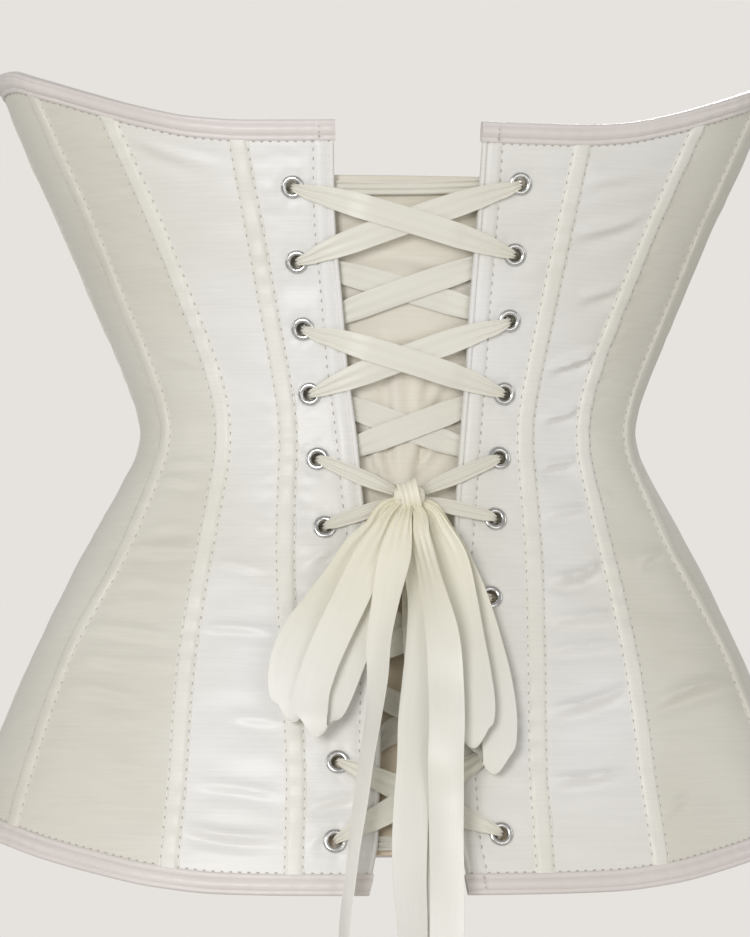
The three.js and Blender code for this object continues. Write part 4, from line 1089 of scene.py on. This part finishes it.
def flat_size(points):
    """The widest, the longest and the area of a grid of cloth, as it lies on the body."""
    across = np.linalg.norm(np.diff(points, axis=1), axis=-1)
    up = np.linalg.norm(np.diff(points, axis=0), axis=-1)
    cells = np.cross(points[1:, 1:] - points[:-1, :-1], points[1:, :-1] - points[:-1, 1:])
    area = np.linalg.norm(cells, axis=-1).sum() / 2
    return across.sum(axis=1).max() * MM, up.sum(axis=0).max() * MM, area * MM ** 2


def make_wall(name, fraction, z, outside, inside, material, near=0.0, keep=None):
    """A wall of cloth between two heights over the body, and its flat size."""
    base = body_point(fraction, z)
    out = outward_at(fraction, z)
    outer, inner = (base + out * height[..., None] for height in (outside, inside))
    points, faces, used = shell(outer, inner, keep)
    cloth = cloth_map(wrapped(fraction) * half_girth(z), z, near)
    cloth = np.concatenate([cloth, cloth])[used]
    return make_piece(name, (points, faces), material, cloth, "satin"), flat_size(base)


def make_panel(name, fraction, z, heights, near, material, keep=None):
    inside = INNER_SHARE * heights - CLOTH
    piece, flat = make_wall(name, fraction, z, heights, inside, material, near, keep)
    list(flat)


def make_plain_panel(name, start, stop, material, phase):
    width = abs(stop(0.0) - start(0.0)) * half_girth(0.0)
    columns = int(width * PANEL_FULLNESS / PANEL_STEP["across"])
    share = np.linspace(0, 1, int(PANEL_TALL / PANEL_STEP["up"]))[:, None]
    across = np.linspace(0, 1, columns)[None, :]
    fraction, z = place(lambda z: start(z) * (1 - across) + stop(z) * across, share)
    wide = np.abs(stop(z) - start(z)) * half_girth(z)
    near = np.minimum(across, 1 - across) * wide
    heights = cloth_heights(fraction, z, near, phase)
    make_panel(name, fraction, z, heights, near, material)


PIPE = {"wide": 2.2, "height": 1.0}
POCKET = {"from": 2.6, "to": 8.6, "height": 0.75}
EDGE_STITCH = 8.75
HOLE = {"radius": 3.3, "snap": 0.8, "step": 1.15, "panel_tall": 322,
        "flat": (3.5, 8), "dent": 0.3, "rays": 0.12}


def lacing_heights(inset):
    """The piped edge and the bone pocket beside it, by distance from the panel's edge."""
    pipe = np.clip(1 - (2 * inset / PIPE["wide"] - 1) ** 2, 0, 1) ** 0.5
    span = POCKET["to"] - POCKET["from"]
    pocket = np.clip(1 - (2 * (inset - POCKET["from"]) / span - 1) ** 2, 0, 1) ** 0.8
    groove = 0.25 * np.exp(-((inset - EDGE_STITCH) / 0.5) ** 2)
    return PIPE["height"] * pipe + POCKET["height"] * pocket - groove


def make_lacing_panel(side, phase):
    step = HOLE["step"]
    insets = np.concatenate([
        np.linspace(0, PIPE["wide"], 7),
        np.linspace(POCKET["from"], POCKET["to"], 8),
        np.arange(EDGE_STITCH, EYELET_INSET + 7.5, step),
    ])
    rest = np.concatenate([np.zeros(len(insets)), np.linspace(0, 1, 6)[1:]])
    insets = np.concatenate([insets, np.full(5, insets[-1])])
    near_edge = edge_line(side, insets[None, :])
    seam = seam_line(side, "a", -SEAM_GAP / 2)

    def line(z):
        return near_edge(z) * (1 - rest) + seam(z) * rest

    fraction, z = place(line, np.linspace(0, 1, int(HOLE["panel_tall"] / step))[:, None])
    across = fraction * half_girth(z)
    for centre, height in hole_places(side):
        reach = np.hypot(across - centre, z - height)
        close = np.abs(reach - HOLE["radius"]) < HOLE["snap"]
        pull = np.where(close, HOLE["radius"] / np.maximum(reach, 0.1), 1)
        across = centre + (across - centre) * pull
        z = height + (z - height) * pull
    fraction = across / half_girth(z)
    inset = np.abs(across) - edge_width(side, z)
    to_seam = np.abs(seam(z)) * half_girth(z) - np.abs(across)
    near = np.minimum(to_seam, 30 + 0 * to_seam)
    heights = cloth_heights(fraction, z, near, phase) * smooth_step(6, 14, inset)
    free = smooth_step(BINDING_ROOM - 1, BINDING_ROOM + 1, inside_edges(fraction, z))
    heights = heights + lacing_heights(inset) * free
    keep = np.ones((z.shape[0] - 1, z.shape[1] - 1), bool)
    for row, (centre, height) in enumerate(hole_places(side)):
        reach = np.hypot(across - centre, z - height)
        heights = heights * smooth_step(*HOLE["flat"], reach)
        turn = np.arctan2(z - height, across - centre)
        dent = HOLE["dent"] * np.exp(-((reach - 5.6) / 1.7) ** 2)
        rays = HOLE["rays"] * np.cos(7 * turn + row) * np.exp(-((reach - 7) / 2) ** 2)
        heights = heights - dent + rays
        middle = (reach[:-1, :-1] + reach[1:, 1:] + reach[:-1, 1:] + reach[1:, :-1]) / 4
        keep &= middle > HOLE["radius"]
    name = f"panel_centre_back_{side_name(side)}"
    make_panel(name, fraction, z, heights, near, BODY_SATIN, keep)


# The side panels take the satin with painted shade
PANELS = [
    ("panel_back", "a", "b", BODY_SATIN),
    ("panel_side_back", "b", "c", SIDE_SATIN_PAINTED_SHADE),
    ("panel_side", "c", "d", SIDE_SATIN_PAINTED_SHADE),
    ("panel_side_front", "d", "e", BODY_SATIN),
]

for panel_side in (1, -1):
    make_lacing_panel(panel_side, 0.4 + panel_side)
    for i, (panel_name, seam_one, seam_two, panel_satin) in enumerate(PANELS):
        make_plain_panel(
            f"{panel_name}_{side_name(panel_side)}",
            seam_line(panel_side, seam_one, SEAM_GAP / 2),
            seam_line(panel_side, seam_two, -SEAM_GAP / 2),
            panel_satin,
            1.1 * i + panel_side,
        )
front_right_seam = seam_line(-1, "e", SEAM_GAP / 2)
make_plain_panel(
    "panel_centre_front",
    seam_line(1, "e", SEAM_GAP / 2),
    lambda z: 2 + front_right_seam(z),
    BODY_SATIN,
    5.3,
)

# Bone casings, with their two stitched rows
STITCH = 3.9
CASING_ROW = 3.75
CASING_TOP = table(["across", "height"], [
    [0, 1.20], [1.5, 1.15], [2.6, 0.92], [3.3, 0.48], [3.75, 0.25], [4.1, 0.22], [4.5, -0.15],
])
CASING_HALF = np.array([0, 0.7, 1.4, 2.0, 2.5, 2.9, 3.2, 3.5, 3.75, 4.0, 4.25, 4.5])
CASING_UNDER = -0.5
CASING_STEPS = 300
CASING_INSIDE = BINDING_ROOM - 0.6


def stitch_holes(z):
    """How deep in a stitch's hole a height is, from 0 between holes to 1 at each."""
    off = (z / STITCH + 0.5) % 1 - 0.5
    return np.exp(-(off * STITCH / 0.62) ** 2)


def make_casing(side, seam, phase):
    across = np.concatenate([-CASING_HALF[:0:-1], CASING_HALF])
    top = smooth_at(CASING_TOP, "height", np.abs(across))
    ends = np.array([across[-1], across[0]])
    offsets = np.concatenate([across, ends])[None, :]
    line = seam_line(side, seam, offsets)
    share = np.linspace(0, 1, CASING_STEPS)[:, None]
    whole = place(line, share)[1]
    low, high = whole[:1] + CASING_INSIDE, whole[-1:] - CASING_INSIDE
    z = low + share * (high - low)
    tops = z[:, :len(across)]
    gathered = 1.0 if seam in "ab" else 0.5
    patchy = gathered * (0.20 + 0.12 * np.sin(tops / 17 + 3 * phase))
    ripple = patchy * np.sin(tops / 1.9 + 2.6 * np.sin(tops / 11 + phase))
    ripple = ripple + 0.10 * np.sin(tops / 5.3 + across[None] / 2.2 + phase)
    rows = np.exp(-((np.abs(across) - CASING_ROW) / 0.5) ** 2)
    height = top + ripple * (1 - rows) - 0.32 * rows * stitch_holes(tops)
    under = np.full((len(z), 2), CASING_UNDER)
    rings = on_body(line(z), z, np.concatenate([height, under], axis=1))
    name = f"bone_casing_{seam}_{side_name(side)}"
    # Casings c and d take the satin with painted shade of the sides
    material = SIDE_SATIN_PAINTED_SHADE if seam in "cd" else CASING_SATIN
    return make_piece(name, loft(rings), material, cloth_map(offsets, z), "satin")


CASINGS = [
    make_casing(casing_side, casing_seam, i + casing_side)
    for casing_side in (1, -1) for i, casing_seam in enumerate("abcde")
]

# Bindings: a strip rolled over the edge, with its ends folded in at the back opening
BINDING_FOLD = 8.4
BINDING_SECTION = table(["out", "down"], [
    [0.15, 7.2], [0.75, 7.0], [1.05, 6.3], [1.05, 5.6], [0.80, 5.1], [1.25, 4.6], [1.85, 3.8],
    [2.15, 2.8], [2.10, 1.8], [1.75, 0.9], [1.20, 0.35], [1.35, -0.1], [1.40, -0.7],
    [1.00, -1.25], [0.20, -1.5], [-0.80, -1.5], [-2.40, -1.3], [-3.00, -0.4], [-3.20, 2.0],
    [-3.10, 4.6], [-2.50, 6.4], [-1.75, 6.8], [-1.75, -0.3], [0.15, -0.3],
])
BINDING_STEP = 1.7
BINDING_END = 12
BINDING_END_STEPS = 25


def binding_line(side, share):
    def line(z):
        edge = (edge_width(side, z) - 0.6) / half_girth(z)
        return side * (edge * (1 - share) + share)
    return line


def binding_rings(which, out, down):
    """Places across the binding at every step round the edge, and the distance round."""
    sign = -1 if which == "neck" else 1
    pieces = []
    for side in (1, -1):
        girth = half_girth(EDGE_HEIGHTS[which][0])
        near = np.linspace(0, BINDING_END, BINDING_END_STEPS)
        far = np.linspace(BINDING_END, girth, int(girth / BINDING_STEP))[1:]
        share = (np.concatenate([near, far]) / girth)[:, None]
        line = binding_line(side, share)
        height = height_on_edge(which, line) + sign * down[None, :]
        pieces.append((line(height), height, share[:, 0] * girth))
    fraction, height, from_end = (
        np.concatenate([left, right[-2::-1]]) for left, right in zip(*pieces))
    points = body_point(fraction, height)
    marks = distances(points[:, 0])
    folded = 1 - smooth_step(BINDING_FOLD - 0.5, BINDING_FOLD + 0.3, from_end)
    puckers = 0.10 * np.sin(marks / 1.35 + 2.2 * np.sin(marks / 21))
    puckers = puckers + 0.09 * np.sin(marks / 5.1 + 1.3 * np.sin(marks / 37))
    front = (out > 0.3)[None, :]
    lift = out[None, :] + np.where(front, 0.45 * folded[:, None] + puckers[:, None], 0)
    return on_body(fraction, height, lift), marks


def make_binding(name, which):
    rings, marks = binding_rings(which, BINDING_SECTION["out"], BINDING_SECTION["down"])
    cloth = cloth_map(marks[:, None], distances(rings[0]))
    return make_piece(name, loft(rings), BINDING_SATIN, cloth, "satin")


BINDINGS = [make_binding("binding_top", "neck"), make_binding("binding_hem", "hem")]

# The modesty panel behind the lacing, and its band
MODESTY = {
    "top": 101.5, "bottom": -178, "cloth": 1.2, "behind": 6.6, "band": 5.2,
    "under_right": 29, "under_left": 24, "sewn": 12,
    "rows": 150, "columns": 48, "sewn_columns": 12,
}
MODESTY_FOLDS = table(CREASE, [
    [1, -30, -17, 22, 2.4, 2.6, 3], [2, -28, -6, 34, 2.2, 2.8, -2], [4, -28, 9, 40, 2.6, 3.0, 2],
    [5, -30, 20, 16, 2.2, 2.6, -3], [-2, -24, -20, 2, 2.0, 2.4, 1],
    [-24, 62, 22, 70, 1.3, 3.6, 2], [-20, 40, 18, 34, 1.3, 3.6, -2],
    [-22, 84, 26, 78, 0.6, 4.0, 1], [-14, -70, 12, -62, 0.8, 3.2, 1],
    [-12, -96, 12, -104, 0.8, 3.2, -1], [-13, -130, 12, -122, 0.8, 3.4, 1],
    [-14, -156, 14, -162, 0.7, 3.4, 0],
])


def modesty_place(share, z):
    """Fraction and depth of the modesty panel: 0 to 1 across the opening, to 2 where sewn."""
    start = edge_line(-1, MODESTY["under_right"])(z)
    stop = edge_line(1, MODESTY["under_left"])(z)
    sewn = seam_line(1, "a", MODESTY["sewn"])(z)
    inner = np.clip(share, 0, 1)
    flap = np.clip(share - 1, 0, 1)
    fraction = start * (1 - inner) + stop * inner + (sewn - stop) * flap
    rise = MODESTY["behind"] - CLOTH - 2.5 * SEAM_GAP
    return fraction, -MODESTY["behind"] + rise * smooth_step(0, 1, flap)


def make_modesty():
    z = np.linspace(MODESTY["bottom"], MODESTY["top"], MODESTY["rows"])[:, None]
    share = np.concatenate([
        np.linspace(0, 1, MODESTY["columns"]), np.linspace(1, 2, MODESTY["sewn_columns"])[1:]])
    fraction, depth = modesty_place(share, z)
    across = fraction * half_girth(z)
    folds = crease_heights(MODESTY_FOLDS, across, z) * smooth_step(0, 6, MODESTY["top"] - 6 - z)
    folds = folds - 1.2 * np.exp(-(across / 9) ** 2) * np.exp(-((z + 34) / 22) ** 2)
    folds = np.clip(folds, -3.8, 1.1) * (1 - smooth_step(1.0, 1.2, share))
    outside = depth + folds
    inside = outside - MODESTY["cloth"]
    return make_wall("modesty_panel", fraction, z, outside, inside, MODESTY_SATIN)


MODESTY_BAND = table(["out", "down"], [
    [0.15, 5.3], [0.75, 4.9], [1.00, 3.6], [1.00, 1.6], [0.80, -0.2], [0.30, -0.8], [-0.60, -0.9],
    [-1.50, -0.8], [-1.95, -0.2], [-2.10, 1.6], [-2.10, 3.6], [-1.85, 4.9], [-1.35, 5.3],
    [-1.35, -0.25], [0.15, -0.25],
])


def make_modesty_band():
    share = np.concatenate([np.linspace(0, 1, 60), np.linspace(1, 1.55, 14)[1:]])[:, None]
    z = MODESTY["top"] - MODESTY_BAND["down"][None, :]
    fraction, depth = modesty_place(share, z)
    skin = loft(on_body(fraction, z, depth + MODESTY_BAND["out"][None, :]))
    cloth = cloth_map(fraction * half_girth(z), z)
    return make_piece("modesty_band", skin, MODESTY_SATIN, cloth, "satin")


modesty_piece, modesty_flat = make_modesty()
modesty_band = make_modesty_band()

# Sewing: each stitch is a short length of thread that dips into the cloth at both ends
STITCH_RINGS = table(["along", "radius", "sink"], [
    [-1.0, 0.35, 0.40],
    [-0.6, 0.9, 0.08],
    [0.0, 1.0, 0.0],
    [0.6, 0.9, 0.08],
    [1.0, 0.35, 0.40],
])
STITCH_SIDES = 5
STITCH_SHOWS = 1.7
THREAD_RADIUS = 0.26


def make_stitches(name, starts, stops, normals):
    centres = (starts + stops) / 2
    half = np.linalg.norm(stops - starts, axis=-1) / 2
    along = unit(stops - starts)
    beside = unit(np.cross(along, normals))
    out = np.cross(beside, along)
    turns = np.linspace(0, 2 * np.pi, STITCH_SIDES, endpoint=False)
    radius = THREAD_RADIUS * STITCH_RINGS["radius"][:, None]
    wide = (radius * np.cos(turns))[None, ..., None]
    tall = (radius * np.sin(turns) - STITCH_RINGS["sink"][:, None])[None, ..., None]
    reach = (STITCH_RINGS["along"][None, :, None, None] * half[:, None, None, None])
    points = (centres[:, None, None] + along[:, None, None] * reach
              + beside[:, None, None] * wide + out[:, None, None] * tall)
    one = np.arange(len(STITCH_RINGS["along"]) * STITCH_SIDES).reshape(-1, STITCH_SIDES)
    quads = np.stack(
        [one[:-1], one[1:], np.roll(one, -1, axis=1)[1:], np.roll(one, -1, axis=1)[:-1]], -1)
    quads = quads.reshape(-1, 4)
    caps = np.array([one[0], one[-1][::-1]])
    size = one.size
    starts_at = (np.arange(len(centres)) * size)[:, None, None]
    faces = (quads[None] + starts_at).reshape(-1, 4).tolist()
    faces += (caps[None] + starts_at).reshape(-1, STITCH_SIDES).tolist()
    return make_piece(name, (points.reshape(-1, 3), faces), THREAD_AND_HOLE_SHADE)


def stitch_ends(line, low, high, out):
    """Starts, stops and normals of stitches down a line."""
    start = line(low), low
    return on_body(*start, out), on_body(line(high), high, out), outward_at(*start)


def row_stitches(line, out):
    """A stitched row down the body, from one binding to the other."""
    holes = np.arange(-60, 50) * STITCH
    low = holes[inside_edges(line(holes), holes) > BINDING_ROOM + 1] - STITCH_SHOWS / 2
    return stitch_ends(line, low, low + STITCH_SHOWS, out)


def sewn_rows(name, rows):
    starts, stops, normals = (np.concatenate(parts) for parts in zip(*rows))
    return make_stitches(name, starts, stops, normals)


for sewn_side in (1, -1):
    sewn_rows(f"casing_stitches_{side_name(sewn_side)}", [
        row_stitches(seam_line(sewn_side, seam, offset), 0.14)
        for seam in "abcde" for offset in (-CASING_ROW, CASING_ROW)
    ])
    sewn_rows(f"edge_stitches_{side_name(sewn_side)}", [
        row_stitches(edge_line(sewn_side, EDGE_STITCH), 0.0),
    ])


DITCH = {"down": 7.55, "out": 0.2}
END_ROW = {"inside": 0.9, "down": np.array([1.0, 2.9, 4.8]), "long": 1.3, "out": 2.45}


def binding_stitches(name, which):
    """A row in the ditch under the binding's lower edge, and one down each folded end."""
    sign = -1 if which == "neck" else 1
    rows = []
    for side in (1, -1):
        girth = half_girth(EDGE_HEIGHTS[which][0])
        start = np.arange(2.0, girth - 2.0, STITCH)
        ends = []
        for reach in (start, start + STITCH_SHOWS):
            line = binding_line(side, reach / girth)
            height = height_on_edge(which, line) + sign * DITCH["down"]
            ends.append((line(height), height))
        rows.append((*(on_body(*end, DITCH["out"]) for end in ends), outward_at(*ends[0])))
        line = binding_line(side, (BINDING_FOLD - END_ROW["inside"]) / girth)
        low = height_on_edge(which, line) + sign * END_ROW["down"]
        rows.append(stitch_ends(line, low, low + sign * END_ROW["long"], END_ROW["out"]))
    return sewn_rows(name, rows)


binding_stitches("binding_top_stitches", "neck")
binding_stitches("binding_hem_stitches", "hem")

# The modesty panel's size as it lies, without seam allowances: the lesser of its area and its
# widest times its longest, which is not kept
min(modesty_flat[2], modesty_flat[0] * modesty_flat[1])

# Floor, light and air
FLOOR_Z = -300.0
FLOOR_RADIUS = 1.0
FLOOR_RINGS = 10
FLOOR_SIDES = 96
FLOOR_FADE = (0.38, 0.9)
BACKDROP = (0.791, 0.767, 0.737)


def make_floor():
    nodes = Nodes(bpy.data.materials.new("pale floor"))
    plain = nodes.shade(
        Base_Color=(0.86, 0.84, 0.81, 1), Roughness=0.9, Specular_IOR_Level=0.1)
    away = nodes.make(
        "ShaderNodeVectorMath", "Value", {0: nodes.object_place()}, operation="LENGTH")
    clear = nodes.make("ShaderNodeBsdfTransparent", 0, {})
    fade = nodes.smooth_share(away, *FLOOR_FADE)
    surface = nodes.make("ShaderNodeMixShader", 0, {0: fade, 1: plain, 2: clear})
    nodes.plug(surface, nodes.tree.nodes["Material Output"].inputs["Surface"])
    turns = np.linspace(0, 2 * np.pi, FLOOR_SIDES, endpoint=False)
    radius = np.linspace(0.1, FLOOR_RADIUS, FLOOR_RINGS)[:, None]
    rings = np.stack([radius * np.cos(turns), radius * np.sin(turns), 0 * radius * turns], -1)
    points = np.concatenate([np.zeros((1, 3)), rings.reshape(-1, 3)])
    index = 1 + np.arange(FLOOR_RINGS * FLOOR_SIDES).reshape(FLOOR_RINGS, FLOOR_SIDES)
    beside = np.roll(index, -1, axis=1)
    faces = np.stack([0 * index[0], index[0], beside[0]], -1).tolist()
    faces += np.stack([index[:-1], index[1:], beside[1:], beside[:-1]], -1).reshape(-1, 4).tolist()
    mesh = bpy.data.meshes.new("floor")
    mesh.from_pydata(points.tolist(), [], faces)
    mesh.materials.append(nodes.owner)
    floor = add_object("floor", mesh)
    floor.location = (0, 0, FLOOR_Z * MM)


def make_light(name, place_m, power, size, colour):
    data = bpy.data.lights.new(name, "AREA")
    data.shape = "DISK"
    data.energy = power
    data.size = size
    data.color = colour
    z_axis = unit(np.array(place_m))
    x_axis = unit(np.cross([0, 0, 1], z_axis))
    add_object(name, data).matrix_world = pose_of(x_axis, z_axis, place_m)


def make_air():
    nodes = Nodes(bpy.data.worlds.new("studio"))
    bpy.context.scene.world = nodes.owner
    light = nodes.tree.nodes["Background"]
    nodes.set(light, {"Color": (1.0, 0.985, 0.96, 1), "Strength": 0.39})
    seen = nodes.make("ShaderNodeBackground", 0, {"Color": (*BACKDROP, 1)})
    by_camera = nodes.make("ShaderNodeLightPath", "Is Camera Ray", {})
    surface = nodes.make("ShaderNodeMixShader", 0, {0: by_camera, 1: light.outputs[0], 2: seen})
    nodes.plug(surface, nodes.tree.nodes["World Output"].inputs["Surface"])


make_floor()
make_air()
make_light("key behind the camera", (0.9, 2.15, 0.25), 22, 0.8, (1.0, 0.99, 1.0))
make_light("fill behind the camera", (-0.9, 2.2, -0.1), 6, 1.3, (1.0, 0.98, 0.95))
make_light("front key", (-0.7, -2.1, 1.2), 17, 0.7, (1.0, 0.99, 0.98))
for light_name, light_x in (("left side", 2.4), ("right side", -2.4)):
    make_light(light_name, (light_x, 0.3, 0.6), 6, 1.2, (1.0, 0.97, 0.93))
bpy.context.scene.view_settings.view_transform = "Standard"
